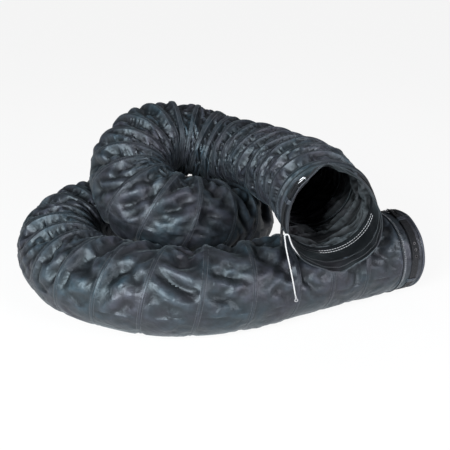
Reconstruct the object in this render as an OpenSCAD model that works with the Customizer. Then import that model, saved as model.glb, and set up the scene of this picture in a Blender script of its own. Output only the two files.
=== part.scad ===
// Flexible ventilation duct: coated fabric sewn over a spring wire, lying in a loose double coil.
// Each open end has a round cuff, a buckled belt and a sewn-in hoop; the near end has a ground wire.
// Millimetres, +Z up. The origin is on the floor under the middle of the coiled duct.

/* [Duct] */
// Bore inside the wire turns
duct_d = 200; // [160:1:260]
// Distance between two wire turns with the duct pulled right out
wire_pitch = 101.6; // [95:0.1:115]
// Thickness of the spring wire
wire_d = 2.5; // [1.6:0.1:3.5]
// Thickness of the coated fabric
fabric_t = 1.2; // [0.8:0.1:1.6]
// Depth of the fold between two turns where they are pushed together
fold_depth = 12; // [4:0.5:16]

/* [Cuffs] */
// How much wider than the wire a cuff is, so that a collar goes in
cuff_ease = 4; // [2:0.5:8]
// Length of a cuff, from its sewn seam outwards
cuff_l = 60; // [56:1:90]
// Thickness of the wire in the end hoops
hoop_d = 3; // [2:0.1:4]
// Length of the loose lip in front of the near cuff
lip_l = 26; // [20:1:40]
// How far the lip opens all round
lip_flare = 4; // [2:0.5:8]
// How far the lip hangs out of round above and below
lip_droop = 20; // [5:1:28]
// Length of the turned hem on the far cuff
hem_l = 6; // [4:0.5:12]

/* [Belts] */
// Width of a belt
strap_w = 19; // [15:0.5:25]
// Thickness of a belt
strap_t = 1.6; // [1.2:0.1:2]
// Distance from a belt to the mouth end of its cuff
belt_inset = 14; // [10:0.5:16]
// Length of the near belt's hanging tail
near_tail_l = 68; // [50:1:110]
// Length of the far belt's lying tail
far_tail_l = 100; // [70:1:130]
// Bore of the belt eyelets
eyelet_d = 4; // [3:0.1:5]
// Distance between two eyelets
eyelet_step = 16; // [12:0.5:20]
// Width of a sewn belt loop
loop_w = 10; // [6:0.5:14]

/* [Buckles] */
// Thickness of a buckle's wire
bar_d = 3; // [2.4:0.1:3.4]
// Distance between a buckle's two bars
buckle_l = 22; // [20:0.5:28]
// Thickness of a buckle's tongue
tongue_d = 2.4; // [1.8:0.1:2.8]

/* [Ground wire] */
// Outer thickness of the ground wire
ground_d = 3; // [2:0.1:4]
// Hole in the ground wire's ring terminal
lug_hole_d = 4.3; // [3.2:0.1:5.3]
// Thickness of the ring terminal's plate
lug_t = 1; // [0.8:0.1:1.5]
// Head of the rivet that holds the ground wire
rivet_head_d = 8; // [7:0.1:10]

/* [Hidden] */
$fn = 96;

FABRIC = [0.20, 0.21, 0.24];
FABRIC_DARK = [0.13, 0.14, 0.16];
BELT = [0.11, 0.11, 0.12];
STEEL = [0.62, 0.63, 0.65];
GALVANISED = [0.46, 0.48, 0.50];
WHITE = [0.86, 0.86, 0.84];

// ---- clearances
wire_gap = 2.3;       // spring wire to the fabric over it, so that steep folds clear it
pocket_gap = 0.15;    // end hoop to its sewn pocket
lie_gap = 0.1;        // one belt layer on another, and a bar on a belt
bar_gap = lie_gap;    // buckle bar in the belt fold and in the tongue
seam_gap = 0.1;       // one sewn piece to the next
side_gap = 1;         // belt edge to the buckle's side and to the loops
slot_gap = 1.1;       // tongue to the slot in the belt, each side
root_gap = 0.8;       // a belt's free tail to the belt it hinges on

// ---- the duct's wall, from the bore outwards
N_SIDES = 14;                                  // stations in one turn of wire
wire_rc = wire_d / 2 * 1.555;                  // corner radius of the wire's 3-sided section
wire_r = duct_d / 2 + wire_rc / 2;             // spring wire's centre line
crest_r = wire_r + wire_rc + wire_gap + fabric_t;

// ---- cuffs, in a cuff's own frame: Z outwards from the seam, Y up
cuff_ri = (duct_d + cuff_ease) / 2;
cuff_ro = cuff_ri + fabric_t;
pocket_r = hoop_d / 2 + pocket_gap;
bead_r = pocket_r + fabric_t;
bead_pos = [cuff_ri + bead_r / 4, bead_r];     // centre of the hoop's pocket
flange_r = max(crest_r + fabric_t / 2, bead_pos.x + bead_r);
lip_z = cuff_l + seam_gap;
mouth_z = lip_z + lip_l;

// ---- belts: layers of one strap, and the buckle's bar
belt_r = cuff_ro + seam_gap;
bar_r = belt_r + strap_t + lie_gap + bar_d / 2;          // bars' distance from the cuff's axis
eye_r = bar_d / 2 + bar_gap;                             // belt fold's bore round the bar
fold_ro = bar_r - belt_r;                                // belt fold's outside round the bar
fold_t = fold_ro - eye_r;
over_r = bar_r + fold_ro + lie_gap;                      // belt passing over its own fold
tail_r = belt_r + 2 * strap_t + 2 * lie_gap;             // belt lying on its stitched end
belt_z = cuff_l - belt_inset - strap_w;                  // the belt's inner edge
belt_mid = belt_z + strap_w / 2;
buckle_a = 2 * asin(buckle_l / 2 / bar_r);               // angle between a buckle's bars
slot_w = tongue_d + 2 * slot_gap;
loop_a = loop_w / belt_r * 180 / PI;

// ---- where the buckles sit round the cuffs, and where their tails leave
NEAR_HEEL = 138;
NEAR_LEAVE = 180;
FAR_HEEL = 84;
FAR_LEAVE = 112;

// ---- the lie of the duct, set out for an outer radius of 104.7 mm: a wider duct lies wider
lay = crest_r / 104.7;
NEAR_YAW = 8;
FAR_YAW = 110;
near_seam = [220, -180, 302] * lay;
far_seam = [394 * lay, -33 * lay, max(flange_r, belt_r + strap_t)];
near_out = [sin(NEAR_YAW), -cos(NEAR_YAW), 0];
far_out = [sin(FAR_YAW), -cos(FAR_YAW), 0];
STRAIGHT = [75, 150];  // straight runs behind each seam

// x, y, z, how far the turns are pulled apart in percent, how much the section is pressed flat
LAY_POINTS = [
    [158, 75, 290, 58, 10],
    [90, 195, 286, 52, 15],
    [-15, 270, 284, 52, 10],
    [-73, 287, 299, 52, 6],
    [-131, 286, 312, 54, 4],
    [-179, 265, 316, 54, 2],
    [-218, 226, 314, 54, 2],
    [-244, 174, 298, 54, 2],
    [-252, 118, 276, 54, 2],
    [-243, 68, 255, 56, 2],
    [-215, 27, 236, 58, 2],
    [-172, 1, 219, 62, 2],
    [-122, -8, 203, 66, 2],
    [-69, 5, 188, 64, 3],
    [-25, 36, 170, 60, 4],
    [8, 75, 147, 56, 7],
    [23, 122, 123, 54, 10],
    [20, 170, 106, 55, 12],
    [0, 213, 96, 58, 14],
    [-36, 249, 91, 66, 14],
    [-82, 275, 89, 80, 14],
    [-205, 286, 92, 98, 12],
    [-334, 248, 100, 84, 6],
    [-418, 166, 104, 62, 3],
    [-442, 40, 104, 58, 3],
    [-390, -80, 101, 60, 3],
    [-295, -155, 101, 80, 3],
    [-190, -190, 101, 96, 3],
    [-75, -200, 101, 98, 3],
    [42, -172, 99, 98, 5],
    [152, -124, 97, 98, 7]
];

// ---- one curve through the points, with its turns counted along it
STEPS = 8;
function run_point(p, open, flat) = [p.x, p.y, p.z, open, flat];
function behind(seam, out, i) = seam - out * STRAIGHT[i] * lay;
route = concat(
    [run_point(near_seam, 60, 0)],
    [run_point(behind(near_seam, near_out, 0), 60, 1)],
    [run_point(behind(near_seam, near_out, 1), 58, 4)],
    [for (p = LAY_POINTS) [p[0] * lay, p[1] * lay, p[2] * lay, p[3], p[4] * lay]],
    [run_point(behind(far_seam, far_out, 1) - [0, 0, 5], 98, 4)],
    [run_point(behind(far_seam, far_out, 0), 98, 0)],
    [run_point(far_seam, 98, 0)]
);
last = len(route) - 1;
knots = concat([2 * route[0] - route[1]], route, [2 * route[last] - route[last - 1]]);

function place(q) = [q[0], q[1], q[2]];
function unit(v) = v / norm(v);
// from b to c, with the slope at each of them taken from its two neighbours by their distances
function spline(a, b, c, d, t) =
    let (
        p = norm(place(b) - place(a)), q = norm(place(c) - place(b)), r = norm(place(d) - place(c)),
        m = c - b + q * ((b - a) / p - (c - a) / (p + q)),
        n = c - b + q * ((d - c) / r - (d - b) / (q + r))
    )
    b + m * t + (3 * (c - b) - 2 * m - n) * t * t + (m + n - 2 * (c - b)) * t * t * t;

samples = concat(
    [for (i = [0:last - 1], k = [0:STEPS - 1])
        spline(knots[i], knots[i + 1], knots[i + 2], knots[i + 3], k / STEPS)],
    [route[last]]
);
count = len(samples);
function step_turns(i) =
    norm(place(samples[i + 1]) - place(samples[i])) * 100 / wire_pitch * 2 / (samples[i][3] + samples[i + 1][3]);
turns_at = [for (i = 0, sum = 0; i < count; sum = sum + (i < count - 1 ? step_turns(i) : 0), i = i + 1) sum];
TURNS = round(turns_at[count - 1]);            // from one seam to the other
turn = turns_at * TURNS / turns_at[count - 1];
headings = [for (i = [0:count - 1])
    i == 0 ? -near_out : i == count - 1 ? far_out : unit(place(samples[i + 1]) - place(samples[i - 1]))];

function column(rows, k) = [for (i = [0:count - 1]) [turn[i], rows[i][k]]];
centre_x = column(samples, 0);
centre_y = column(samples, 1);
centre_z = column(samples, 2);
flat_by = column(samples, 4);
heading_x = column(headings, 0);
heading_y = column(headings, 1);
heading_z = column(headings, 2);

function centre(u) = [lookup(u, centre_x), lookup(u, centre_y), lookup(u, centre_z)];
function heading(u) = unit([lookup(u, heading_x), lookup(u, heading_y), lookup(u, heading_z)]);
function above(p, low) = [p.x, p.y, max(p.z, low)];

// A point of the duct's section at turn u, angle a and radius r: pressed flat where the duct carries
// weight, and cut flat at height low where it lies on the floor
function duct_point(u, a, r, low) =
    let (
        h = heading(u),
        side = unit(cross(h, [0, 0, 1])),
        up = cross(side, h),
        f = lookup(u, flat_by) / crest_r
    )
    above(centre(u) + side * cos(a) * r * (1 + 0.9 * f) + up * sin(a) * r * (1 - f), low);

// Folds are deeper where there is more slack, and follow the spacing on that side of the bend
function spacing(u, a) = norm(duct_point(u + 0.25, a, crest_r, 0) - duct_point(u - 0.25, a, crest_r, 0)) * 2;
function fold(u, a) =
    let (p = spacing(u, a), slack = max(0.45, min(1, 1.5 - p / wire_pitch)))
    min(fold_depth * slack, 0.34 * p);

// ---- the ribbed sleeve: rows of crests and folds that wind with the wire, between two flat rings
ROWS = 2 * TURNS - 3;
function side_angle(j) = 360 * j / N_SIDES;
function sleeve_row(row, inset, low) = [
    for (j = [0:N_SIDES - 1])
        let (
            a = side_angle(j),
            u = row == 0 ? 0 : row > ROWS ? TURNS : row / 2 + j / N_SIDES,
            dip = (row == 0 || row > ROWS || row % 2 == 0) ? 0 : fold(u, a)
        )
        duct_point(u, a, crest_r - dip - inset, low)
];
function sleeve_skin(inset, low) = [for (row = [0:ROWS + 1]) each sleeve_row(row, inset, low)];
function flip(faces) = [for (f = faces) [f[0], f[2], f[1]]];
function skin_faces(base) =
    let (e = N_SIDES - 1, tip = base + ROWS * N_SIDES)
    concat(
        [for (row = [0:ROWS], j = [0:e - 1])
            let (a = base + row * N_SIDES + j, d = a + N_SIDES)
            each [[a, a + 1, d + 1], [a, d + 1, d]]],
        [for (row = [1:ROWS - 3])
            let (a = base + row * N_SIDES + e, d = a + N_SIDES, b = base + (row + 2) * N_SIDES)
            each [[a, b, b + N_SIDES], [a, b + N_SIDES, d]]],
        // the wedge where the first turn starts, and the one where the last turn ends
        [for (f = [[e, 0, N_SIDES + e], [N_SIDES + e, 0, N_SIDES], [N_SIDES + e, N_SIDES, 2 * N_SIDES],
                [N_SIDES + e, 2 * N_SIDES, 3 * N_SIDES]])
            [base + f[0], base + f[1], base + f[2]]],
        [for (row = [ROWS - 2, ROWS - 1, ROWS])
            [tip, base + (row + 1) * N_SIDES + e, base + row * N_SIDES + e]],
        [[tip, tip + N_SIDES, tip + N_SIDES + e]]
    );
function rim_faces(outer, inner, turned) = [
    for (j = [0:N_SIDES - 1])
        let (k = (j + 1) % N_SIDES, q = [[outer + j, inner + j, inner + k], [outer + j, inner + k, outer + k]])
        each turned ? flip(q) : q
];

module duct_sleeve() {
    skin = (ROWS + 2) * N_SIDES;
    end = (ROWS + 1) * N_SIDES;
    color(FABRIC) translate(-origin)
        polyhedron(
            points = concat(sleeve_skin(0, 0), sleeve_skin(fabric_t, fabric_t * 0.6)),
            faces = concat(
                skin_faces(0),
                flip(skin_faces(skin)),
                rim_faces(0, skin, false),
                rim_faces(end, skin + end, true)
            ),
            convexity = 12
        );
}

// ---- the spring wire: one unbroken tube sewn in under the crests
WIRE_SIDES = 3;
WIRE_FIRST = N_SIDES;
WIRE_LAST = N_SIDES * (TURNS - 1) - 1;
function wire_centre(k, low = 0) = duct_point(k / N_SIDES, side_angle(k), wire_r, low);
function wire_ring(k) =
    let (
        u = k / N_SIDES,
        out = unit(duct_point(u, side_angle(k), wire_r + 1, -99) - duct_point(u, side_angle(k), wire_r, -99)),
        h = heading(u),
        c = wire_centre(k, -99)
    )
    [for (i = [0:WIRE_SIDES - 1])
        let (b = 360 * i / WIRE_SIDES)
        above(c + wire_rc * (out * cos(b) + h * sin(b)), fabric_t * 0.6 + wire_gap / 2)];

module wire_helix() {
    stations = WIRE_LAST - WIRE_FIRST;
    color(GALVANISED) translate(-origin)
        polyhedron(
            points = [for (k = [WIRE_FIRST:WIRE_LAST]) each wire_ring(k)],
            faces = concat(
                [[for (i = [0:WIRE_SIDES - 1]) i]],
                [for (k = [0:stations - 1], i = [0:WIRE_SIDES - 1])
                    let (a = k * WIRE_SIDES, n = (i + 1) % WIRE_SIDES)
                    each [[a + i, a + i + WIRE_SIDES, a + n], [a + n, a + i + WIRE_SIDES, a + n + WIRE_SIDES]]],
                [[for (i = [WIRE_SIDES - 1:-1:0]) stations * WIRE_SIDES + i]]
            ),
            convexity = 12
        );
}

// ---- the origin: the middle of the sleeve's box, with the near mouth and the far cuff
far_mouth = far_seam + far_out * (cuff_l + hem_l);
near_mouth = near_seam + near_out * mouth_z;
crests = [for (row = [0:2:ROWS]) each sleeve_row(row, 0, 0)];
low_x = min([for (p = crests) p.x]);
high_x = far_mouth.x + (cuff_ro + fabric_t) * abs(far_out.y);
low_y = min(near_mouth.y - (cuff_ri + lip_flare) * near_out.x, min([for (p = crests) p.y]));
high_y = max([for (p = crests) p.y]);
origin = [(low_x + high_x) / 2, (low_y + high_y) / 2, 0];

// ---- frames of the two ends
module at_near() {
    translate(near_seam - origin) rotate([0, 0, NEAR_YAW]) rotate([90, 0, 0]) children();
}
module at_far() {
    translate(far_seam - origin) rotate([0, 0, FAR_YAW]) rotate([90, 0, 0]) children();
}

module end_hoop() {
    color(GALVANISED) rotate_extrude() translate(bead_pos) circle(d = hoop_d);
}

// A cuff: a flange sewn to the sleeve, the hoop's pocket and a plain round wall
module cuff() {
    color(FABRIC) rotate_extrude()
        difference() {
            union() {
                translate([bead_pos.x - bead_r, 0]) square([flange_r - bead_pos.x + bead_r, bead_r]);
                translate(bead_pos) circle(r = bead_r);
                translate([cuff_ri, bead_r]) square([fabric_t, cuff_l - bead_r]);
            }
            translate(bead_pos) circle(r = pocket_r);
        }
}

// A belt seen along the cuff's axis, with its heel bar on +X: one strap of even thickness. Its stitched
// end lies on the strap, it folds round the bar, goes once round the cuff, comes up through the buckle
// and passes back over its own fold. Each station is a point on either face of the strap
function polar(r, a) = [r * cos(a), r * sin(a)];
function arc(r, a0, a1, n = 12) = [for (i = [0:n]) polar(r, a0 + (a1 - a0) * i / n)];
module ring_part(r, t, a0, a1) {
    reach = 2 * (r + t);
    difference() {
        circle(r = r + t, $fn = 180);
        circle(r = r, $fn = 180);
        polygon(concat([[0, 0]], arc(reach, a1, a0 + 360, 24)));
    }
}
STITCHED = 14;  // where the stitched end of the strap stops
LAND = 8;       // where the fold comes down on the strap
RISE = 3;       // from the front bar to where the strap rises
OVER = 2;       // how far the strap lies level over the heel bar, each way
stitched_r = belt_r + strap_t + lie_gap;
land_v = polar(stitched_r + strap_t, LAND) - [bar_r, 0];
fold_a = atan2(land_v.y, land_v.x) - acos(fold_ro / norm(land_v));
function station(r, a) = [polar(r, a), polar(r + strap_t, a)];
function stations(r, a0, a1) =
    let (n = max(1, ceil((a1 - a0) / 4)))
    [for (i = [0:n]) station(r, a0 + (a1 - a0) * i / n)];
function turned_over(q) = [q[1], q[0]];
function fold_station(a) = [[bar_r, 0] + polar(fold_ro, a), [bar_r, 0] + polar(eye_r, a)];
function belt_sides(leave) = concat(
    [for (a = [STITCHED, (STITCHED + LAND) / 2, LAND]) turned_over(station(stitched_r, a))],
    [for (i = [0:16]) fold_station(fold_a - (180 + fold_a) * i / 17)],
    stations(belt_r, 0, 360 - buckle_a + RISE),
    stations(over_r, -OVER, OVER),
    stations(tail_r, LAND + OVER, leave)
);
module belt_outline(leave) {
    sides = belt_sides(leave);
    n = len(sides);
    polygon(concat([for (q = sides) q[0]], [for (i = [n - 1:-1:0]) sides[i][1]]));
}
module belt(heel, leave) {
    slot_to = (fold_ro + 2) / belt_r * 180 / PI;
    color(BELT) rotate([0, 0, heel]) translate([0, 0, belt_z])
        difference() {
            linear_extrude(strap_w) belt_outline(leave);
            // slot for the tongue, from the front bar to behind the heel
            rotate([0, 0, -buckle_a]) rotate_extrude(angle = buckle_a + slot_to)
                translate([belt_r - 1, (strap_w - slot_w) / 2]) square([over_r + strap_t - belt_r + 2, slot_w]);
        }
}

// Fabric loops sewn on the cuff: the first also holds the strap's loose end
module belt_loop(angle, top) {
    edge = strap_w / 2 + side_gap;
    color(FABRIC_DARK) rotate([0, 0, angle - loop_a / 2])
        rotate_extrude(angle = loop_a)
            translate([0, belt_mid])
                polygon([[cuff_ro, -edge - fabric_t], [cuff_ro, -edge], [top, -edge], [top, edge],
                    [cuff_ro, edge], [cuff_ro, edge + fabric_t], [top + fabric_t, edge + fabric_t],
                    [top + fabric_t, -edge - fabric_t]]);
}
module belt_loops(heel) {
    belt_loop(heel + 20, tail_r + strap_t + lie_gap);
    for (a = [115, 205, 290]) belt_loop(heel + a, belt_r + strap_t + lie_gap);
}

// A buckle: in its own frame the heel bar runs along Z through the origin and the front bar is on +X
module at_buckle(heel) {
    rotate([0, 0, heel]) translate([bar_r, 0, belt_mid]) rotate([0, 0, -90 - buckle_a / 2])
        children();
}
module rod(d, from, to) {
    v = to - from;
    translate(from) rotate([0, acos(v.z / norm(v)), atan2(v.y, v.x)]) cylinder(d = d, h = norm(v), $fn = 32);
}
module buckle_frame() {
    half = strap_w / 2 + side_gap + bar_d / 2;
    color(STEEL) {
        for (x = [0, buckle_l]) rod(bar_d, [x, 0, -half], [x, 0, half]);
        for (z = [-half, half]) {
            rod(bar_d, [0, 0, z], [buckle_l, 0, z]);
            for (x = [0, buckle_l]) translate([x, 0, z]) sphere(d = bar_d, $fn = 32);
        }
    }
}
module buckle_tongue() {
    rise = (bar_d + tongue_d) / 2 + lie_gap;
    ring_w = slot_w - slot_gap;
    color(STEEL) {
        difference() {
            union() {
                translate([0, 0, -ring_w / 2]) cylinder(r = fold_ro - lie_gap, h = ring_w, $fn = 48);
                rod(tongue_d, [0, rise, 0], [buckle_l + bar_d / 2, rise, 0]);
                translate([buckle_l + bar_d / 2, rise, 0]) sphere(d = tongue_d, $fn = 32);
            }
            translate([0, 0, -ring_w]) cylinder(r = eye_r, h = 2 * ring_w, $fn = 48);
        }
    }
}

// An eyelet: a short tube with a rolled flange on each face of the strap, its axis along X
module eyelet() {
    wall = 0.6;
    flange = 0.5;
    color(STEEL) rotate([0, 90, 0]) difference() {
        union() {
            cylinder(r = eyelet_d / 2 + wall, h = strap_t + flange, $fn = 32);
            translate([0, 0, strap_t + lie_gap / 2]) cylinder(r = eyelet_d / 2 + 3 * wall, h = flange, $fn = 32);
        }
        translate([0, 0, -1]) cylinder(d = eyelet_d, h = strap_t + 3, $fn = 32);
    }
}
eyelet_hole_r = eyelet_d / 2 + 0.6 + 0.05;

// ---- near end
module near_end_hoop() {
    at_near() end_hoop();
}
module near_cuff() {
    at_near() cuff();
}

// The lip: fabric past the cuff that opens a little all round and hangs to a point above and below.
// LIP_HANG is how far each of its corners hangs out, as a share of the droop
LIP_SIDES = 20;
LIP_HANG = [0, 0, 0, 0, 0.2, 0.9, 1.75, 1.1, 0.65, 0.15, 0, 0, 0.1, 0.35, 0.65, 0.8, 0.5, 0.1, 0.1, 0];
LIP_ROWS = [0, 0.2, 0.6, 0.62, 1];
LIP_THICK = [1, 1, 1, 2, 2];
function ease(t) = t * t * (3 - 2 * t);
lip_base_r = cuff_ri / cos(180 / LIP_SIDES);   // clear of the bore in the middle of a side too
function lip_r(j, t) = lip_base_r + (lip_flare + lip_droop * LIP_HANG[j % LIP_SIDES]) * ease(t);
function lip_point(i, j, out) =
    let (a = 360 * j / LIP_SIDES, t = LIP_ROWS[i], r = lip_r(j, t) + (out ? fabric_t * LIP_THICK[i] : 0))
    [r * cos(a), r * sin(a), lip_z + t * lip_l];
function lip_skin(out) = [for (i = [0:len(LIP_ROWS) - 1], j = [0:LIP_SIDES - 1]) lip_point(i, j, out)];
module lip_shell() {
    n = LIP_SIDES;
    rows = len(LIP_ROWS);
    inner = rows * n;
    wall = [for (i = [0:rows - 2], j = [0:n - 1])
        let (k = (j + 1) % n, a = i * n + j, b = i * n + k)
        each [[a, b + n, b], [a, a + n, b + n]]];
    rims = [for (j = [0:n - 1])
        let (k = (j + 1) % n, top = (rows - 1) * n)
        each [[j, k, inner + k], [j, inner + k, inner + j],
            [top + j, inner + top + k, top + k], [top + j, inner + top + j, inner + top + k]]];
    polyhedron(
        points = concat(lip_skin(true), lip_skin(false)),
        faces = concat(wall, [for (f = wall) [f[0] + inner, f[2] + inner, f[1] + inner]], rims),
        convexity = 6
    );
}
RIVET_SIDE = 13;         // the lip's side that carries the rivet, square to the fabric there
rivet_seat = [for (i = [1, 2], j = [0, 1]) lip_point(i, RIVET_SIDE + j, false)];
rivet_pos = (rivet_seat[0] + rivet_seat[1] + rivet_seat[2] + rivet_seat[3]) / 4;
rivet_in = unit(cross(rivet_seat[2] - rivet_seat[1], rivet_seat[3] - rivet_seat[0]));
rivet_shank_d = 3.2;
rivet_head_t = 1;
washer_t = 0.8;
washer_gap = 0.3;        // washer to the fabric, which isn't quite flat there
rivet_under = washer_gap + washer_t + lie_gap;           // the inner head's underside
module at_rivet() {
    v = rivet_in;
    translate(rivet_pos) rotate([0, acos(v.z), atan2(v.y, v.x)]) children();
}
module near_mouth_lip() {
    at_near() color(FABRIC) difference() {
        lip_shell();
        at_rivet() translate([0, 0, -5]) cylinder(d = rivet_shank_d + 2 * lie_gap, h = 12, $fn = 32);
    }
}
module near_belt() {
    at_near() belt(NEAR_HEEL, NEAR_LEAVE - NEAR_HEEL);
}
module near_belt_tail() {
    at_near() color(BELT) rotate([0, 0, NEAR_LEAVE - 180]) translate([-tail_r - strap_t, 0, belt_mid]) rotate([0, 90, 0])
        linear_extrude(strap_t) difference() {
            union() {
                translate([-strap_w / 2, -near_tail_l + strap_w / 2])
                    square([strap_w, near_tail_l - strap_w / 2 - root_gap]);
                translate([0, -near_tail_l + strap_w / 2]) circle(d = strap_w, $fn = 48);
            }
            for (i = [0:2]) translate([0, -near_tail_l + strap_w / 2 + i * eyelet_step]) circle(r = eyelet_hole_r, $fn = 32);
        }
}
module near_tail_eyelets() {
    at_near() rotate([0, 0, NEAR_LEAVE - 180]) for (i = [0:2])
        translate([-tail_r, -near_tail_l + strap_w / 2 + i * eyelet_step, belt_mid]) rotate([0, 0, 180]) eyelet();
}
module near_belt_loops() {
    at_near() belt_loops(NEAR_HEEL);
}
module near_buckle_frame() {
    at_near() at_buckle(NEAR_HEEL) buckle_frame();
}
module near_buckle_tongue() {
    at_near() at_buckle(NEAR_HEEL) buckle_tongue();
}

// ---- ground wire: from its rivet along the inside of the lip, over the edge and down
module ground_rivet() {
    out = fabric_t + 2 * washer_gap + lie_gap;
    at_near() color(STEEL) at_rivet() {
        translate([0, 0, -out - rivet_head_t]) cylinder(d = rivet_head_d, h = rivet_head_t, $fn = 48);
        translate([0, 0, -out - rivet_head_t / 2])
            cylinder(d = rivet_shank_d, h = out + rivet_head_t + rivet_under, $fn = 32);
        translate([0, 0, rivet_under]) cylinder(d = rivet_head_d * 0.7, h = rivet_head_t, $fn = 48);
    }
}
module ground_washer() {
    at_near() color(STEEL) at_rivet() translate([0, 0, washer_gap]) difference() {
        cylinder(d = rivet_head_d, h = washer_t, $fn = 48);
        translate([0, 0, -1]) cylinder(d = rivet_shank_d + 2 * lie_gap, h = washer_t + 2, $fn = 32);
    }
}
// in the near cuff's frame, after the end that lies on the washer beside the rivet's head
GROUND_POINTS = [
    [-67, -83, 78],
    [-80.5, -68, 82],
    [-91, -51, 84.5],
    [-99, -36, 88],
    [-104, -22, 89.5],
    [-108, -13, 89.5],
    [-112.5, -14, 87],
    [-112, -30, 86],
    [-106, -62, 88],
    [-98, -96, 89],
    [-90, -132, 90],
    [-83, -166, 90]
];
GROUND_SIDES = 6;
GROUND_STEPS = 3;
ground_rise = rivet_under + ground_d / 2;
ground_way = unit(cross(rivet_in, cross(GROUND_POINTS[0] - rivet_pos, rivet_in)));
ground_start = rivet_pos + rivet_in * ground_rise + ground_way * (rivet_head_d * 0.35 + lie_gap);
wire_knots_in = concat([ground_start], GROUND_POINTS);
wire_n = len(wire_knots_in);
wire_knots = concat([2 * wire_knots_in[0] - wire_knots_in[1]], wire_knots_in,
    [2 * wire_knots_in[wire_n - 1] - wire_knots_in[wire_n - 2]]);
ground_line = concat(
    [for (i = [0:wire_n - 2], k = [0:GROUND_STEPS - 1])
        spline(wire_knots[i], wire_knots[i + 1], wire_knots[i + 2], wire_knots[i + 3], k / GROUND_STEPS)],
    [wire_knots_in[wire_n - 1]]
);
ground_count = len(ground_line);
function ground_heading(i) = unit(ground_line[min(i + 1, ground_count - 1)] - ground_line[max(i - 1, 0)]);
function ground_ring(i) =
    let (h = ground_heading(i), side = unit(cross(h, [0, 0.2, 1])), up = cross(side, h))
    [for (j = [0:GROUND_SIDES - 1])
        let (a = 360 * j / GROUND_SIDES)
        ground_line[i] + ground_d / 2 * (side * cos(a) + up * sin(a))];
module ground_wire() {
    n = GROUND_SIDES;
    at_near() color(WHITE) polyhedron(
        points = [for (i = [0:ground_count - 1]) each ground_ring(i)],
        faces = concat(
            [[for (j = [n - 1:-1:0]) j]],
            [for (i = [0:ground_count - 2], j = [0:n - 1])
                let (k = (j + 1) % n, a = i * n + j, b = i * n + k)
                each [[a, b, a + n], [b, b + n, a + n]]],
            [[for (j = [0:n - 1]) (ground_count - 1) * n + j]]
        ),
        convexity = 6
    );
}

// The ring terminal: a crimped barrel and a flat ring, in line with the wire's end
barrel_l = 8;
ring_r = lug_hole_d / 2 + 2.2;
lug_end = ground_line[ground_count - 1];
lug_down = ground_heading(ground_count - 1);
lug_a = atan2(lug_down.y, lug_down.x);
lug_eye = lug_end + polar3(barrel_l + ring_r, lug_a);
function polar3(r, a) = [r * cos(a), r * sin(a), 0];
module ground_lug() {
    at_near() color(STEEL) translate(lug_end) rotate([0, 0, lug_a]) {
        rotate([0, 90, 0]) translate([0, 0, lie_gap]) cylinder(d = ground_d + 1.6, h = barrel_l, $fn = 32);
        translate([barrel_l / 2, 0, -lug_t / 2]) linear_extrude(lug_t) difference() {
            union() {
                translate([0, -ground_d / 2]) square([barrel_l / 2 + ring_r, ground_d]);
                translate([barrel_l / 2 + ring_r, 0]) circle(r = ring_r, $fn = 48);
            }
            translate([barrel_l / 2 + ring_r, 0]) circle(d = lug_hole_d, $fn = 32);
        }
    }
}

// ---- far end
module far_end_hoop() {
    at_far() end_hoop();
}
module far_cuff() {
    at_far() cuff();
}
module far_hem() {
    at_far() color(FABRIC_DARK) translate([0, 0, lip_z]) difference() {
        cylinder(r = cuff_ro + fabric_t, h = hem_l);
        translate([0, 0, -1]) cylinder(r = cuff_ri, h = hem_l + 2);
    }
}
module far_belt() {
    at_far() belt(FAR_HEEL, FAR_LEAVE - FAR_HEEL);
}
far_tail_a = far_tail_l / tail_r * 180 / PI;
function far_eyelet_a(i) = FAR_LEAVE + far_tail_a - (strap_w / 2 + i * eyelet_step) / tail_r * 180 / PI;
module far_belt_tail() {
    start = FAR_LEAVE + root_gap / tail_r * 180 / PI;
    at_far() color(BELT) difference() {
        translate([0, 0, belt_z]) linear_extrude(strap_w)
            ring_part(tail_r, strap_t, start, FAR_LEAVE + far_tail_a);
        for (i = [0:2])
            rotate([0, 0, far_eyelet_a(i)]) translate([tail_r - 2, 0, belt_mid]) rotate([0, 90, 0])
                cylinder(r = eyelet_hole_r, h = strap_t + 4, $fn = 32);
    }
}
module far_tail_eyelets() {
    at_far() for (i = [0:2])
        rotate([0, 0, far_eyelet_a(i)]) translate([tail_r, 0, belt_mid]) eyelet();
}
module far_belt_loops() {
    at_far() belt_loops(FAR_HEEL);
}
module far_buckle_frame() {
    at_far() at_buckle(FAR_HEEL) buckle_frame();
}
module far_buckle_tongue() {
    at_far() at_buckle(FAR_HEEL) buckle_tongue();
}

// ---- printed measures: the wire's least gap to itself, and where the mounts and joints are
wire_pairs = [for (k = [WIRE_FIRST:WIRE_LAST - N_SIDES])
    norm(wire_centre(k, -99) - wire_centre(k + N_SIDES, -99))];
echo(turns = TURNS, wire_least_gap = min(wire_pairs) - wire_rc * sqrt(3));
echo(origin = origin, near_seam = near_seam - origin, far_seam = far_seam - origin);
function from_end(seam, yaw, p) = seam - origin
    + p.x * [cos(yaw), sin(yaw), 0] + p.y * [0, 0, 1] + p.z * [sin(yaw), -cos(yaw), 0];
function on_cuff(r, a, z) = [r * cos(a), r * sin(a), z];
echo(
    near_bar = from_end(near_seam, NEAR_YAW, on_cuff(bar_r, NEAR_HEEL, belt_mid)),
    far_bar = from_end(far_seam, FAR_YAW, on_cuff(bar_r, FAR_HEEL, belt_mid)),
    near_tail = from_end(near_seam, NEAR_YAW, on_cuff(tail_r + strap_t / 2, NEAR_LEAVE, belt_mid)),
    far_tail = from_end(far_seam, FAR_YAW, on_cuff(tail_r + strap_t / 2, FAR_LEAVE, belt_mid))
);
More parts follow.
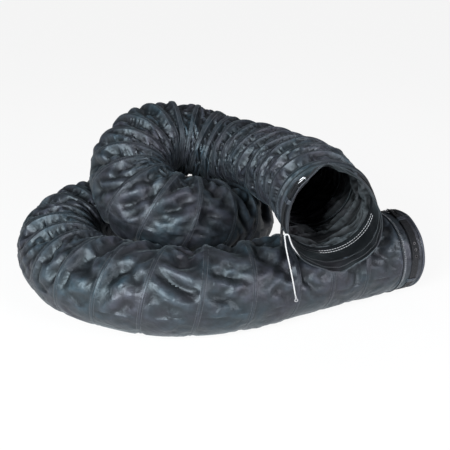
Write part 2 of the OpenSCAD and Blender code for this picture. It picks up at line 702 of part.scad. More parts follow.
echo(
    near_mount = from_end(near_seam, NEAR_YAW, [0, 0, (2 * bead_r + cuff_l) / 2]),
    far_mount = from_end(far_seam, FAR_YAW, [0, 0, (2 * bead_r + lip_z + hem_l) / 2]),
    bore_r = cuff_ri, bore_l = cuff_l - 2 * bead_r, far_bore_l = lip_z + hem_l - 2 * bead_r
);
echo(lug_eye = from_end(near_seam, NEAR_YAW, lug_eye));
echo(ground_line = [for (p = ground_line) from_end(near_seam, NEAR_YAW, p)]);

duct_sleeve();
wire_helix();
near_end_hoop();
near_cuff();
near_mouth_lip();
near_belt();
near_belt_tail();
near_tail_eyelets();
near_belt_loops();
near_buckle_frame();
near_buckle_tongue();
ground_rivet();
ground_washer();
ground_wire();
ground_lug();
far_end_hoop();
far_cuff();
far_hem();
far_belt();
far_belt_tail();
far_tail_eyelets();
far_belt_loops();
far_buckle_frame();
far_buckle_tongue();
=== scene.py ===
"""Looks for the flexible air duct: coated fabric over a spring wire, belted cuffs and a ground wire."""
import math

import bpy
import numpy as np
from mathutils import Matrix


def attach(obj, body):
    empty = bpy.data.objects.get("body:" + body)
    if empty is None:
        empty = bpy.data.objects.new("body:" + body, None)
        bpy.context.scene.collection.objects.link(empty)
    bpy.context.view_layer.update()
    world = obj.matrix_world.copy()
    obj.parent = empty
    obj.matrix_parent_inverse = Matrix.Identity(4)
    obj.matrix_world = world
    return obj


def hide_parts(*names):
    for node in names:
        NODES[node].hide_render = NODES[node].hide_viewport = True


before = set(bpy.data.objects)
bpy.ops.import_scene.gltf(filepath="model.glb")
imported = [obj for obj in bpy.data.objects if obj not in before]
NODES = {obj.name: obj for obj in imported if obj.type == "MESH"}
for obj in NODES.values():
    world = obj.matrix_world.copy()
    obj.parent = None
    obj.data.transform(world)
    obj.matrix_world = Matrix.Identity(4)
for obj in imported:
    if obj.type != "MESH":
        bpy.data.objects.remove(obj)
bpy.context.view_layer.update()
RNG = np.random.default_rng(7)
MM = 0.001
rad = math.radians

# ---- sizes in millimetres, as in the part's source
PITCH = 101.6  # cloth between two turns of the wire
FABRIC = 1.2
WIRE_R = 100.972  # middle of the spring wire
CREST_R = 106.416  # outside of the sleeve over the wire
LAY = CREST_R / 104.7  # the route was drawn for a crest of 104.7
ORIGIN = np.array([-30.5334, 49.1653, 0.0])
TURNS = 45
CUFF_RI, CUFF_RO, CUFF_L = 102.0, 103.2, 60.0
CUFF_MID = 102.7  # radius of the middle of the near cloth, where it starts to flare
STRAP_W, STRAP_T, LIE = 19.0, 1.6, 0.1
BAR_D, BUCKLE_L = 3.0, 22.0
BELT_R = CUFF_RO + LIE
BAR_R = BELT_R + STRAP_T + LIE + BAR_D / 2
EYE_R = BAR_D / 2 + LIE
FOLD_RO = BAR_R - BELT_R
OVER_R = BAR_R + FOLD_RO + LIE
TAIL_R = BELT_R + 2 * STRAP_T + 2 * LIE
BELT_Z = CUFF_L - 14.0 - STRAP_W
BELT_MID = BELT_Z + STRAP_W / 2
LIP_Z, LIP_L = CUFF_L + 0.1, 26.0
BUCKLE_A = 2 * math.degrees(math.asin(BUCKLE_L / 2 / BAR_R))
EYELET_R, EYELET_STEP = 2.65, 16
NEAR_HEEL, FAR_HEEL = 138, 84  # degrees round the cuff where each buckle's heel bar lies

# ---- camera: fitted to the photograph
CAMERA_AT = (0.03054, -1.31965, 0.81718)
CAMERA_TILT = 63
CAMERA_LENS, CAMERA_SENSOR = 43.456, 36


def add_object(name, data):
    obj = bpy.data.objects.new(name, data)
    bpy.context.collection.objects.link(obj)
    return obj


def add_camera():
    data = bpy.data.cameras.new("camera")
    data.sensor_width = CAMERA_SENSOR
    data.lens = CAMERA_LENS
    cam = add_object("camera", data)
    cam.location = CAMERA_AT
    cam.rotation_euler = (rad(CAMERA_TILT), 0, 0)
    bpy.context.scene.camera = cam


add_camera()


# ---- mesh helpers
def link(name, verts, faces, mats, uv=None, mat_ids=None, smooth=True):
    """A mesh object from points in metres. uv holds one pair for each face corner."""
    mesh = bpy.data.meshes.new(name)
    mesh.from_pydata(np.asarray(verts, float).tolist(), [], [tuple(map(int, f)) for f in faces])
    for m in mats:
        mesh.materials.append(m)
    if smooth:
        mesh.polygons.foreach_set("use_smooth", [True] * len(mesh.polygons))
    if mat_ids is not None:
        mesh.polygons.foreach_set("material_index", [int(i) for i in mat_ids])
    if uv is not None:
        layer = mesh.uv_layers.new(name="cloth")
        layer.data.foreach_set("uv", np.asarray(uv, float).ravel())
    mesh.validate()
    return add_object(name, mesh)


def solidify(obj, thickness, offset=0.0):
    """Gives a sheet its thickness in millimetres; an offset of -1 puts all of it on the inside."""
    mod = obj.modifiers.new("thickness", "SOLIDIFY")
    mod.thickness = thickness * MM
    mod.offset = offset
    return mod


def finish_piece(obj, node, body="duct"):
    """Hides the node that the piece stands for, if any, and puts the piece in its body."""
    if node:
        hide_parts(node)
    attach(obj, body)


def grid_faces(rows, cols, closed_rows=False, closed_cols=False):
    """Quads over a grid of points, row by row; a closed direction joins its last line to its first."""
    faces = []
    for i in range(rows if closed_rows else rows - 1):
        here = i * cols
        above = (i + 1) % rows * cols
        for j in range(cols if closed_cols else cols - 1):
            k = (j + 1) % cols
            faces.append((here + j, above + j, above + k, here + k))
    return faces


def smoothstep(x, lo, hi):
    t = np.clip((x - lo) / (hi - lo), 0, 1)
    return t * t * (3 - 2 * t)


def smooth_noise(shape, wave_rows, wave_cols):
    """Seeded noise of unit size with soft waves of about the given lengths in cells."""
    noise = RNG.standard_normal(shape)
    fr = np.fft.fftfreq(shape[0])[:, None] * wave_rows
    fc = np.fft.fftfreq(shape[1])[None, :] * wave_cols
    keep = np.exp(-((fr ** 2 + fc ** 2) * 1.6) ** 1.2)
    out = np.real(np.fft.ifft2(np.fft.fft2(noise) * keep))
    return out / out.std()


def ring_noise(n, waves):
    """Seeded noise of unit size round a ring, with up to the given number of waves."""
    a = 2 * math.pi * np.arange(n) / n
    out = np.zeros(n)
    for k in range(max(1, waves // 2), waves + 1):
        out += RNG.standard_normal() * np.cos(k * a + RNG.uniform(0, 6.3))
    return out / (out.std() + 1e-9)


def polar(r, a):
    return np.array([r * math.cos(rad(a)), r * math.sin(rad(a))])


def ring_points(r, a, z):
    """Points round a cuff's axis, from radius, angle in radians and height."""
    return np.stack([r * np.cos(a), r * np.sin(a), z], -1)


def unit(v):
    return v / np.linalg.norm(v, axis=-1, keepdims=True)


def ring_piece(name, place, sections, mats, node, ids=None):
    """A closed ring of cloth from lines of points round the mouth, in order round its section."""
    sections = np.array(sections)
    faces = grid_faces(len(sections), sections.shape[1], closed_rows=True, closed_cols=True)
    finish_piece(link(name, place(sections.reshape(-1, 3)), faces, mats, mat_ids=ids), node)


def strap_faces(along, across, skip):
    """Quads over a strap's grid and their places on it in cm; skip leaves some out."""
    rows, cols = along.shape
    faces, uvs = [], []
    for i in range(rows - 1):
        for j in range(cols - 1):
            q = ((i, j), (i + 1, j), (i + 1, j + 1), (i, j + 1))
            if not skip(q):
                faces.append(tuple(k * cols + l for k, l in q))
                uvs += [(along[corner] / 10, across[corner] / 10) for corner in q]
    return faces, uvs


# ---- the lie of the duct
NEAR_YAW, FAR_YAW = rad(8), rad(110)
NEAR_SEAM = np.array([220, -180, 302.0]) * LAY
FAR_SEAM = np.array([394 * LAY, -33 * LAY, CREST_R + FABRIC / 2])
NEAR_OUT = np.array([math.sin(NEAR_YAW), -math.cos(NEAR_YAW), 0])
FAR_OUT = np.array([math.sin(FAR_YAW), -math.cos(FAR_YAW), 0])
# the duct's middle line from the near to the far end: x, y, z, stretched in %, flattened in mm
LAY_POINTS = [
    (158, 75, 290, 58, 10), (90, 195, 286, 52, 15), (-15, 270, 284, 52, 10), (-73, 287, 299, 52, 6),
    (-131, 286, 312, 54, 4), (-179, 265, 316, 54, 2), (-218, 226, 314, 54, 2), (-244, 174, 298, 54, 2),
    (-252, 118, 276, 54, 2), (-243, 68, 255, 56, 2), (-215, 27, 236, 58, 2), (-172, 1, 219, 62, 2),
    (-122, -8, 203, 66, 2), (-69, 5, 188, 64, 3), (-25, 36, 170, 60, 4), (8, 75, 147, 56, 7),
    (23, 122, 123, 54, 10), (20, 170, 106, 55, 12), (0, 213, 96, 58, 14), (-36, 249, 91, 66, 14),
    (-82, 275, 89, 80, 14), (-205, 286, 92, 98, 12), (-334, 248, 100, 84, 6), (-418, 166, 104, 62, 3),
    (-442, 40, 104, 58, 3), (-390, -80, 101, 60, 3), (-295, -155, 101, 80, 3), (-190, -190, 101, 96, 3),
    (-75, -200, 101, 98, 3), (42, -172, 99, 98, 5), (152, -124, 97, 98, 7),
]
# straight runs into the seams: distance from the seam, stretched in %, flattened in mm, rise in mm
NEAR_RUN = [(0, 60, 0), (75, 60, 1), (150, 58, 4)]
FAR_RUN = [(150, 98, 4, -5), (75, 98, 0), (0, 98, 0)]
SPLINE_STEPS = 8


def run_of(seam, out, back, opened, flat, rise=0):
    return list(seam - out * back * LAY + np.array([0, 0, rise])) + [opened, flat]


def spline(a, b, c, d, t):
    """Point at share t of the smooth curve from b to c, whose neighbours are a and d."""
    p, q, r = (np.linalg.norm((v - w)[:3]) for v, w in ((b, a), (c, b), (d, c)))
    m = c - b + q * ((b - a) / p - (c - a) / (p + q))
    n = c - b + q * ((d - c) / r - (d - b) / (q + r))
    return b + m * t + (3 * (c - b) - 2 * m - n) * t * t + (m + n - 2 * (c - b)) * t ** 3


def spline_through(points, steps):
    knots = np.vstack([2 * points[0] - points[1], points, 2 * points[-1] - points[-2]])
    spans = range(len(points) - 1)
    return np.array([spline(*knots[i:i + 4], k / steps) for i in spans for k in range(steps)] + [points[-1]])


route = np.array(
    [run_of(NEAR_SEAM, NEAR_OUT, *p) for p in NEAR_RUN]
    + [[x * LAY, y * LAY, z * LAY, opened, flat * LAY] for x, y, z, opened, flat in LAY_POINTS]
    + [run_of(FAR_SEAM, FAR_OUT, *p) for p in FAR_RUN]
)
samples = spline_through(route, SPLINE_STEPS)
between = np.linalg.norm(np.diff(samples[:, :3], axis=0), axis=1)
stretched = samples[1:, 3] + samples[:-1, 3]
turns_so_far = np.concatenate([[0], np.cumsum(between * 100 / PITCH * 2 / stretched)])
turn_at = turns_so_far * TURNS / turns_so_far[-1]
spans = np.vstack([samples[1:, :3], samples[-1:, :3]]) - np.vstack([samples[:1, :3], samples[:-1, :3]])
spans[0], spans[-1] = -NEAR_OUT, FAR_OUT
headings = unit(spans)


def at(u, column):
    return np.interp(u, turn_at, column)


def section(u):
    """Centre, heading, side and up of the duct at turn u, and how far it is flattened."""
    centre = np.stack([at(u, samples[:, k]) for k in range(3)], -1)
    head = unit(np.stack([at(u, headings[:, k]) for k in range(3)], -1))
    side = unit(np.cross(head, [0.0, 0.0, 1.0]))
    return centre, head, side, np.cross(side, head), at(u, samples[:, 4]) / CREST_R


def duct_point(u, a, r, low=None):
    """Point of the duct at turn u, angle a (radians) and radius r, in the route's millimetres."""
    centre, _, side, up, flat = section(u)
    wide = (np.cos(a) * r * (1 + 0.9 * flat))[..., None]
    high = (np.sin(a) * r * (1 - flat))[..., None]
    p = centre + side * wide + up * high
    if low is not None:
        p[..., 2] = np.maximum(p[..., 2], low)
    return p


def to_metres(p):
    return (np.asarray(p) - ORIGIN) * MM


def end_frame(seam, out):
    """From a cuff's own frame, Z outwards from the seam and Y up, to metres."""
    across = np.array([-out[1], out[0], 0])
    up = np.array([0, 0, 1.0])

    def place(p):
        p = np.asarray(p, float)
        return to_metres(seam + p[..., :1] * across + p[..., 1:2] * up + p[..., 2:3] * out)

    return place


near_place = end_frame(NEAR_SEAM, NEAR_OUT)
far_place = end_frame(FAR_SEAM, FAR_OUT)


# ---- materials
class Shader:
    """A node tree, with one short call for each kind of node used here. Noise scales are per metre."""

    def __init__(self, owner):
        self.owner = owner
        owner.use_nodes = True
        self.nodes = owner.node_tree.nodes
        self.links = owner.node_tree.links

    def feed(self, socket, value):
        """Sets a socket to a number or a colour, or links it to another node's output."""
        if isinstance(value, (int, float)):
            socket.default_value = value
        elif isinstance(value, tuple):
            socket.default_value = (*value, 1)
        elif value is not None:
            self.links.new(value, socket)

    def set(self, node, **values):
        """Feeds a node's inputs by name: base_color=... stands for Base Color."""
        for key, value in values.items():
            words = ["IOR" if word == "ior" else word.title() for word in key.split("_")]
            self.feed(node.inputs[" ".join(words)], value)
        return node

    def add(self, kind, **values):
        return self.set(self.nodes.new("ShaderNode" + kind), **values)

    def surface(self, **values):
        """Feeds the Principled shader and returns the material."""
        self.set(self.nodes["Principled BSDF"], **values)
        return self.owner

    def coords(self):
        return self.add("TexCoord").outputs["Object"]

    def cloth_uv(self):
        uv = self.add("UVMap")
        uv.uv_map = "cloth"
        return uv.outputs["UV"]

    def noise(self, coords, scale, detail, rough, kind=None, distortion=0.0):
        n = self.add("TexNoise", vector=coords, scale=scale, detail=detail, roughness=rough)
        self.set(n, distortion=distortion)
        if kind:
            n.noise_type = kind
        return n.outputs["Fac"]

    def ramp(self, fac, stops):
        r = self.add("ValToRGB", fac=fac)
        while len(r.color_ramp.elements) < len(stops):
            r.color_ramp.elements.new(0.5)
        for element, (position, colour) in zip(r.color_ramp.elements, stops):
            element.position = position
            element.color = (*colour, 1)
        return r.outputs["Color"]

    def math(self, op, a, b=None, clamp=False):
        n = self.add("Math")
        n.operation = op
        n.use_clamp = clamp
        self.feed(n.inputs[0], a)
        self.feed(n.inputs[1], b)
        return n.outputs[0]

    def spread(self, value, low, high):
        return self.add("MapRange", value=value, to_min=low, to_max=high).outputs[0]

    def bump(self, height, strength, distance, normal=None):
        b = self.add("Bump", strength=strength, distance=distance, height=height, normal=normal)
        return b.outputs["Normal"]

    def mix(self, fac, a, b, kind="MIX"):
        m = self.add("Mix")
        m.data_type = "RGBA"
        m.blend_type = kind
        # its sockets for a share and two colours
        for index, value in ((0, fac), (6, a), (7, b)):
            self.feed(m.inputs[index], value)
        return m.outputs[2]

    def mix_shaders(self, fac, a, b, output):
        m = self.add("MixShader")
        for socket, value in zip(m.inputs, (fac, a, b)):
            self.feed(socket, value)
        self.set(self.nodes[output], surface=m.outputs[0])


def grey(value):
    return (value, value, value)


def scaled(colour, share):
    return tuple(min(1, c * share) for c in colour)


# how the coated fabric changes: patches of shade, painted highlights on ridges and painted shade in valleys,
# tint of its gloss
SHADE_STOPS = [(0.32, (0.45, 0.45, 0.47)), (0.5, grey(0.9)), (0.7, grey(1.35))]
# painted light from the mesh's pointiness: dark valleys are painted shade, pale bluish ridges are painted
# highlights
FOLD_SHADE_STOPS = [(0.45, (0.10, 0.10, 0.11)), (0.497, grey(0.8)), (0.55, (2.8, 3.1, 3.2))]
GLOSS_STOPS = [(0.38, (0.84, 0.89, 1.0)), (0.50, (0.78, 0.91, 1.0)), (0.62, (0.76, 0.91, 1.0))]
# rows of stitches on the sleeve, in centimetres of cloth from the wire
STITCH_AT, STITCH_HALF = 0.48, 0.06
GROOVE_AT, GROOVE_HALF = 0.34, 0.05
STITCHES_PER_CM, STITCH_SHARE = 2.2, 0.72
STITCH_COLOUR = (0.065, 0.07, 0.08)


def vinyl_material(name, dark, light, tint, stitched=False, rough=0.46, crumple=1.0, shine=0.66):
    """Coated fabric: bluish black with crinkles, a faint weave and, on the sleeve, rows of stitches."""
    sh = Shader(bpy.data.materials.new(name))
    coords = sh.coords()
    hue = sh.noise(coords, 11, 3, 0.6)
    patches = sh.noise(coords, 46, 6, 0.68)
    mottle = sh.noise(coords, 420, 3, 0.7)
    purple = (light[0] * 1.12, light[1] * 0.96, light[2] * 1.02)
    body = sh.ramp(hue, [(0.36, purple), (0.52, light), (0.66, tint)])
    tones = sh.mix(1.0, body, sh.ramp(patches, SHADE_STOPS), "MULTIPLY")
    tones = sh.mix(sh.math("MULTIPLY", mottle, 0.55), tones, dark)
    # painted shade in the hollows of folds and painted highlights on their ridges, from the mesh's pointiness
    point = sh.add("NewGeometry").outputs["Pointiness"]
    tones = sh.mix(1.0, tones, sh.ramp(point, FOLD_SHADE_STOPS), "MULTIPLY")
    facets = sh.noise(coords, 26, 2, 0.45, "RIDGED_MULTIFRACTAL", 0.7)
    crinkle = sh.noise(coords, 84, 5, 0.6, "RIDGED_MULTIFRACTAL", 0.5)
    fine = sh.noise(coords, 260, 3, 0.65)
    grain = sh.noise(coords, 1500, 1, 0.5)
    normal = sh.bump(facets, 0.62 * crumple, 0.0060)
    normal = sh.bump(crinkle, 0.40 * crumple, 0.0026, normal)
    normal = sh.bump(fine, 0.40, 0.0012, normal)
    normal = sh.bump(grain, 0.15, 0.0003, normal)
    if stitched:
        across, along = sh.add("SeparateXYZ", vector=sh.cloth_uv()).outputs[:2]

        def line(place, half_width):
            off = sh.math("ABSOLUTE", sh.math("SUBTRACT", across, place))
            return sh.math("LESS_THAN", off, half_width)

        beat = sh.math("FRACT", sh.math("MULTIPLY", along, STITCHES_PER_CM))
        dash = sh.math("LESS_THAN", beat, STITCH_SHARE)
        worn = sh.math("GREATER_THAN", patches, 0.42)
        thread = sh.math("MULTIPLY", sh.math("MULTIPLY", line(STITCH_AT, STITCH_HALF), dash), worn)
        tones = sh.mix(thread, tones, STITCH_COLOUR)
        groove = line(GROOVE_AT, GROOVE_HALF)
        normal = sh.bump(sh.math("SUBTRACT", thread, groove), 0.8, 0.0006, normal)
    return sh.surface(
        base_color=tones, normal=normal, roughness=sh.spread(patches, rough - 0.10, rough + 0.16),
        specular_ior_level=shine, specular_tint=sh.ramp(hue, GLOSS_STOPS),
        sheen_weight=0.10, sheen_roughness=0.35, sheen_tint=(0.75, 0.92, 1.0),
    )


def webbing_material(name, base):
    """Woven strap: herringbone rows across the strap with a dull sheen."""
    sh = Shader(bpy.data.materials.new(name))
    weave = sh.add("TexWave", vector=sh.cloth_uv(), scale=9, distortion=0.6)
    weave.wave_type = "BANDS"
    weave.bands_direction = "DIAGONAL"
    rows = weave.outputs["Fac"]
    wear = sh.noise(sh.coords(), 120, 3, 0.6)
    light = scaled(base, 1.7)
    tones = sh.ramp(wear, [(0.3, scaled(base, 0.6)), (0.7, light)])
    return sh.surface(
        base_color=sh.mix(sh.math("MULTIPLY", rows, 0.45), tones, light),
        normal=sh.bump(rows, 0.5, 0.0005, sh.bump(wear, 0.3, 0.0006)),
        roughness=0.62, specular_ior_level=0.28, sheen_weight=0.04, sheen_roughness=0.5,
    )


def metal_material(name, base, rough):
    """Metal with darker stains and a fine uneven skin."""
    sh = Shader(bpy.data.materials.new(name))
    coords = sh.coords()
    stain = sh.noise(coords, 260, 4, 0.6)
    return sh.surface(
        base_color=sh.ramp(stain, [(0.25, scaled(base, 0.6)), (0.6, base)]),
        roughness=sh.spread(stain, rough, rough + 0.2),
        normal=sh.bump(sh.noise(coords, 900, 2, 0.5), 0.15, 0.0003),
        metallic=1.0,
    )


def plain_material(name, base, rough, scale, strength):
    """Thread or insulation: one colour, a little uneven in tone and surface."""
    sh = Shader(bpy.data.materials.new(name))
    uneven = sh.noise(sh.coords(), scale, 3, 0.6)
    return sh.surface(
        base_color=sh.ramp(uneven, [(0.3, scaled(base, 0.8)), (0.7, base)]),
        normal=sh.bump(uneven, strength, 0.0004),
        roughness=rough,
    )


VINYL = vinyl_material(
    "duct_vinyl", (0.003, 0.003, 0.004), (0.014, 0.016, 0.020), (0.012, 0.020, 0.026), stitched=True)
CUFF_VINYL = vinyl_material(
    "cuff_vinyl", (0.005, 0.006, 0.008), (0.029, 0.036, 0.044), (0.026, 0.042, 0.050), crumple=0.7)
BINDING = vinyl_material(
    "hem_binding", (0.006, 0.006, 0.008), (0.015, 0.017, 0.021), (0.018, 0.026, 0.032), crumple=0.6)
# the lip's turned rim: lighter cloth as a painted highlight where its rounded edge catches the light
LIT_EDGE = vinyl_material(
    "painted_highlight_edge", (0.03, 0.035, 0.04), (0.085, 0.10, 0.115), (0.09, 0.12, 0.135), rough=0.42, crumple=0.5)
WEBBING = webbing_material("belt_webbing", (0.006, 0.007, 0.009))
# inside of the cuffs and the lip: near-black cloth, painted shade for the dark inside of the mouth
SHADED_LINING = vinyl_material(
    "shaded_lining", (0.002, 0.002, 0.002), (0.006, 0.006, 0.007), (0.006, 0.007, 0.008),
    rough=0.60, crumple=0.8, shine=0.32)
INSIDE = vinyl_material(
    "sleeve_inside", (0.008, 0.008, 0.008), (0.024, 0.024, 0.025), (0.022, 0.024, 0.026),
    rough=0.60, shine=0.35)
THREAD = plain_material("seam_thread", (0.52, 0.53, 0.55), 0.6, 900, 0.4)
DARK_THREAD = plain_material("dark_thread", (0.09, 0.095, 0.105), 0.6, 900, 0.4)
PLATED = metal_material("plated_steel", (0.62, 0.63, 0.65), 0.26)
SPRING = metal_material("spring_steel", (0.30, 0.31, 0.33), 0.38)
WHITE = plain_material("white_insulation", grey(0.56), 0.42, 300, 0.1)
BLACKENED = metal_material("blackened_steel", (0.10, 0.10, 0.105), 0.42)


# ---- ground wire: the route of the part's source, first of all pieces
LIP_SIDES = 20
LIP_BASE = CUFF_RI / math.cos(math.pi / LIP_SIDES)
LIP_HANG = {13: 0.35, 14: 0.65}  # the part's lip at the rivet, as a share of its droop
LIP_ROWS = (0.2, 0.6)  # heights of its two rows of points there, as a share of the lip
WIRE_D = 3.0
GROUND_STEPS = 3
GROUND_POINTS = np.array([
    [-67, -83, 78], [-80.5, -68, 82], [-91, -51, 84.5], [-99, -36, 88], [-104, -22, 89.5], [-108, -13, 89.5],
    [-112.5, -14, 87], [-112, -30, 86], [-106, -62, 88], [-98, -96, 89], [-90, -132, 90], [-83, -166, 90],
], float)


def cad_lip_point(i, j):
    t = LIP_ROWS[i]
    a = 2 * math.pi * j / LIP_SIDES
    e = t * t * (3 - 2 * t)
    r = LIP_BASE + (4 + 20 * LIP_HANG[j]) * e
    return np.array([r * math.cos(a), r * math.sin(a), LIP_Z + t * LIP_L])


def ground_route():
    """The wire's middle line: from the washer on the lip's inside, over the rim and down."""
    seat = [cad_lip_point(i, 13 + j) for i in (0, 1) for j in (0, 1)]
    rivet = sum(seat) / 4
    inwards = unit(np.cross(seat[2] - seat[1], seat[3] - seat[0]))
    way = unit(np.cross(inwards, np.cross(GROUND_POINTS[0] - rivet, inwards)))
    start = rivet + inwards * 2.7 + way * 2.9
    return near_place(spline_through(np.vstack([start, GROUND_POINTS]), GROUND_STEPS))


ground_path = ground_route()
curve = bpy.data.curves.new("ground_wire_insulated", "CURVE")
curve.dimensions = "3D"
curve.bevel_depth = WIRE_D / 2 * MM
curve.bevel_resolution = 4
curve.use_fill_caps = True
line = curve.splines.new("POLY")
line.points.add(len(ground_path) - 1)
for point, place in zip(line.points, ground_path):
    point.co = (*place, 1)
line.use_smooth = True
curve.materials.append(WHITE)
ground = add_object(curve.name, curve)
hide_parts("ground_wire")
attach(ground, "duct")


# ---- the sleeve: one grid of cloth that winds with the wire and is relaxed between its turns
AROUND = 132  # columns of cells round the duct
BAND = [0.0, 1.7, 3.5, 5.4]  # rows of the sewn wire pocket, in mm from the wire outwards
BAND_DIP = [0.0, 0.25, 0.8, 0.9]  # how far each lies below the crest
POCKET = len(BAND)  # the first rows of a turn, which lie on the wire
FREE = 11  # cloth rows between two pockets
ROWS = 2 * POCKET - 1 + FREE  # rows in one turn of the wire
TOTAL_ROWS = (TURNS + 1) * ROWS + 1
BUNCHED, STRETCHED = 62, 88  # mm between turns: below, the cloth pleats; above, it creases
PLEAT_IN = (14, 26)  # how far cloth goes in at least and at most, in mm
CREASE_LOW, CREASE_UP = 3.5, 33  # mm of crease below the duct and, added to it, on its top
RIDGE = 0.04  # rounding of a crease's ridges and valleys, as a share of its wave
# slanted creases: slant in radians, wave in mm, middle level, share
CREASES = ((-0.62, 84, 0.66, 1), (0.85, 70, 0.66, 0.8), (-0.75, 38, 0.6, 0.42), (1.05, 33, 0.6, 0.30))
RELAX_STEPS, RELAX_RATE = 120, 0.42
SLACK = 1.014  # spare length of pressed-in cloth
SINK = 0.02  # mm that loose cloth sinks in each step
FLOOR_GAP = 0.6  # mm that it keeps above the floor while it relaxes
# where slack cloth hangs lower, to close gaps by the crossing legs: turns, angles in degrees, mm
HANGING = ((8.6, 12.6, 200, 300, 13), (17.2, 20.0, 235, 345, 12),
           (25.6, 27.6, 20, 110, 8), (36.4, 39.4, 80, 180, 9))
TURN_EDGE, ANGLE_EDGE = 0.8, 25  # how softly such a place begins and ends


def length(v):
    return np.sqrt((v * v).sum(-1)) + 1e-9


def next_column(x):
    """The neighbour one column on: past the last column it is the first column one turn later."""
    nxt = np.empty_like(x)
    nxt[:, :-1] = x[:, 1:]
    nxt[:-ROWS, -1] = x[ROWS:, 0]
    nxt[-ROWS:, -1] = x[-ROWS:, -1]
    return nxt


def previous_column(x):
    """The neighbour one column back; it also hands corrections to the neighbour that they are for."""
    back = np.zeros_like(x)
    back[:, 1:] = x[:, :-1]
    back[ROWS:, 0] = x[:-ROWS, -1]
    return back


def pull(p, q, free_p, free_q, rest, stiffness):
    """How far p and q move to bring their distance to its rest length."""
    v = q - p
    d = length(v)
    both = free_p + free_q
    f = np.where(both > 0, stiffness * (d - rest) / d / np.maximum(both, 1), 0)
    return v * (f * free_p)[..., None], -v * (f * free_q)[..., None]


def sleeve_rows(gap):
    """Place of each cell in its turn as a share, mm below the crest, mm of cloth from the wire, free mm."""
    row = np.arange(TOTAL_ROWS) % ROWS
    squeeze = np.minimum(1, 0.3 * gap / BAND[-1])
    band_w = BAND[-1] * squeeze
    free_gap = gap - 2 * band_w
    share, dip, cloth_off = (np.zeros_like(gap) for _ in range(3))
    for i in range(ROWS):
        m = row == i
        if POCKET <= i < POCKET + FREE:
            t = (i - POCKET + 1) / (FREE + 1)
            share[m] = (band_w[m] + free_gap[m] * t) / gap[m]
            dip[m] = BAND_DIP[-1]
            cloth_off[m] = BAND[-1] + min(t, 1 - t) * 70
            continue
        b = min(i, ROWS - i)
        from_wire = BAND[b] * squeeze[m] / gap[m]
        share[m] = from_wire if i < POCKET else 1 - from_wire
        dip[m] = BAND_DIP[b]
        cloth_off[m] = BAND[b]
    return share, dip, cloth_off, free_gap


def folded_start(u_raw, ang, gap, slack, lean):
    """How far the cloth stands off at first, its limits in and out, and its arch between the wires."""
    grid = u_raw.shape
    row = np.arange(TOTAL_ROWS) % ROWS
    t = np.clip((row - POCKET + 1) / (FREE + 1), 0, 1)[:, None]
    arch = np.sin(math.pi * t)
    apex = np.clip(0.5 + 0.17 * smooth_noise(grid, 22, 20), 0.22, 0.78)
    vee = np.where(t < apex, t / apex, (1 - t) / (1 - apex))
    double = 1 - np.abs(1 - 2 * np.abs(2 * t - 1))
    pleat = vee + (double - vee) * smoothstep(smooth_noise(grid, 20, 16), 0.2, 0.7)
    depth = slack * np.clip(0.55 + 0.38 * smooth_noise(grid, 26, 13), 0.05, 1.3)
    run = u_raw * PITCH
    girth = ang * CREST_R

    def creases(slant, wave):
        """Sharp folds at a slant to the duct, bent by soft noise: 0 in a valley and near 1 on a ridge."""
        bend = 11 * smooth_noise(grid, 26, 30)
        f = (run * math.cos(slant) + girth * math.sin(slant) + bend) / wave
        return 2 * (np.hypot(f - np.round(f), RIDGE) - RIDGE)

    patches = [smoothstep(smooth_noise(grid, 18, 22), -1.1, 0.5) for _ in CREASES]
    slanted = sum(
        share * (creases(slant, wave) - level) * patch
        for (slant, wave, level, share), patch in zip(CREASES, patches)
    )
    inner = np.clip((58 - gap) / 30, 0, 1)          # bunched cloth on the inner side of a bend
    out_limit = 2.2 + 1.6 * np.clip(smooth_noise(grid, 16, 18), -0.8, 2) + 3 * inner
    in_limit = -np.minimum(PLEAT_IN[1], PLEAT_IN[0] + 0.6 * slack)
    upper = smoothstep(np.sin(ang), -0.15, 0.75)
    height = CREASE_LOW + CREASE_UP * upper * (1 - 0.45 * lean)
    start = -pleat * depth * lean + arch ** 0.45 * (height * slanted + 2.0)
    start = np.clip(start, in_limit, out_limit) + 0.4 * smooth_noise(grid, 3.5, 4) * arch
    return start, in_limit, out_limit, arch


def rest_lengths(pos, base, free, ang, gap, seg, kept):
    """Rest lengths of the cloth round the duct, along it, and along the two diagonals of a cell."""
    loose = 1.012 + 0.024 * smoothstep(np.sin(ang), -0.3, 0.7)
    around = length(next_column(base) - base) * np.where(free, loose, 1.0)
    skew = gap / AROUND
    diag_up = np.sqrt((seg + skew) ** 2 + around ** 2 * 0.98)[:-1]
    diag_down = np.sqrt(np.maximum(seg - skew, 0.3) ** 2 + around ** 2 * 0.98)[:-1]
    along = seg[:-1]
    # stretched cloth keeps its creases as they were pressed in
    nxt = next_column(pos)
    pairs = ((around, nxt, pos), (along, pos[1:], pos[:-1]), (diag_up, nxt[1:], pos[:-1]),
             (diag_down, nxt[:-1], pos[1:]))
    return [rest + (length(p - q) * SLACK - rest) * kept[:len(rest)] for rest, p, q in pairs]


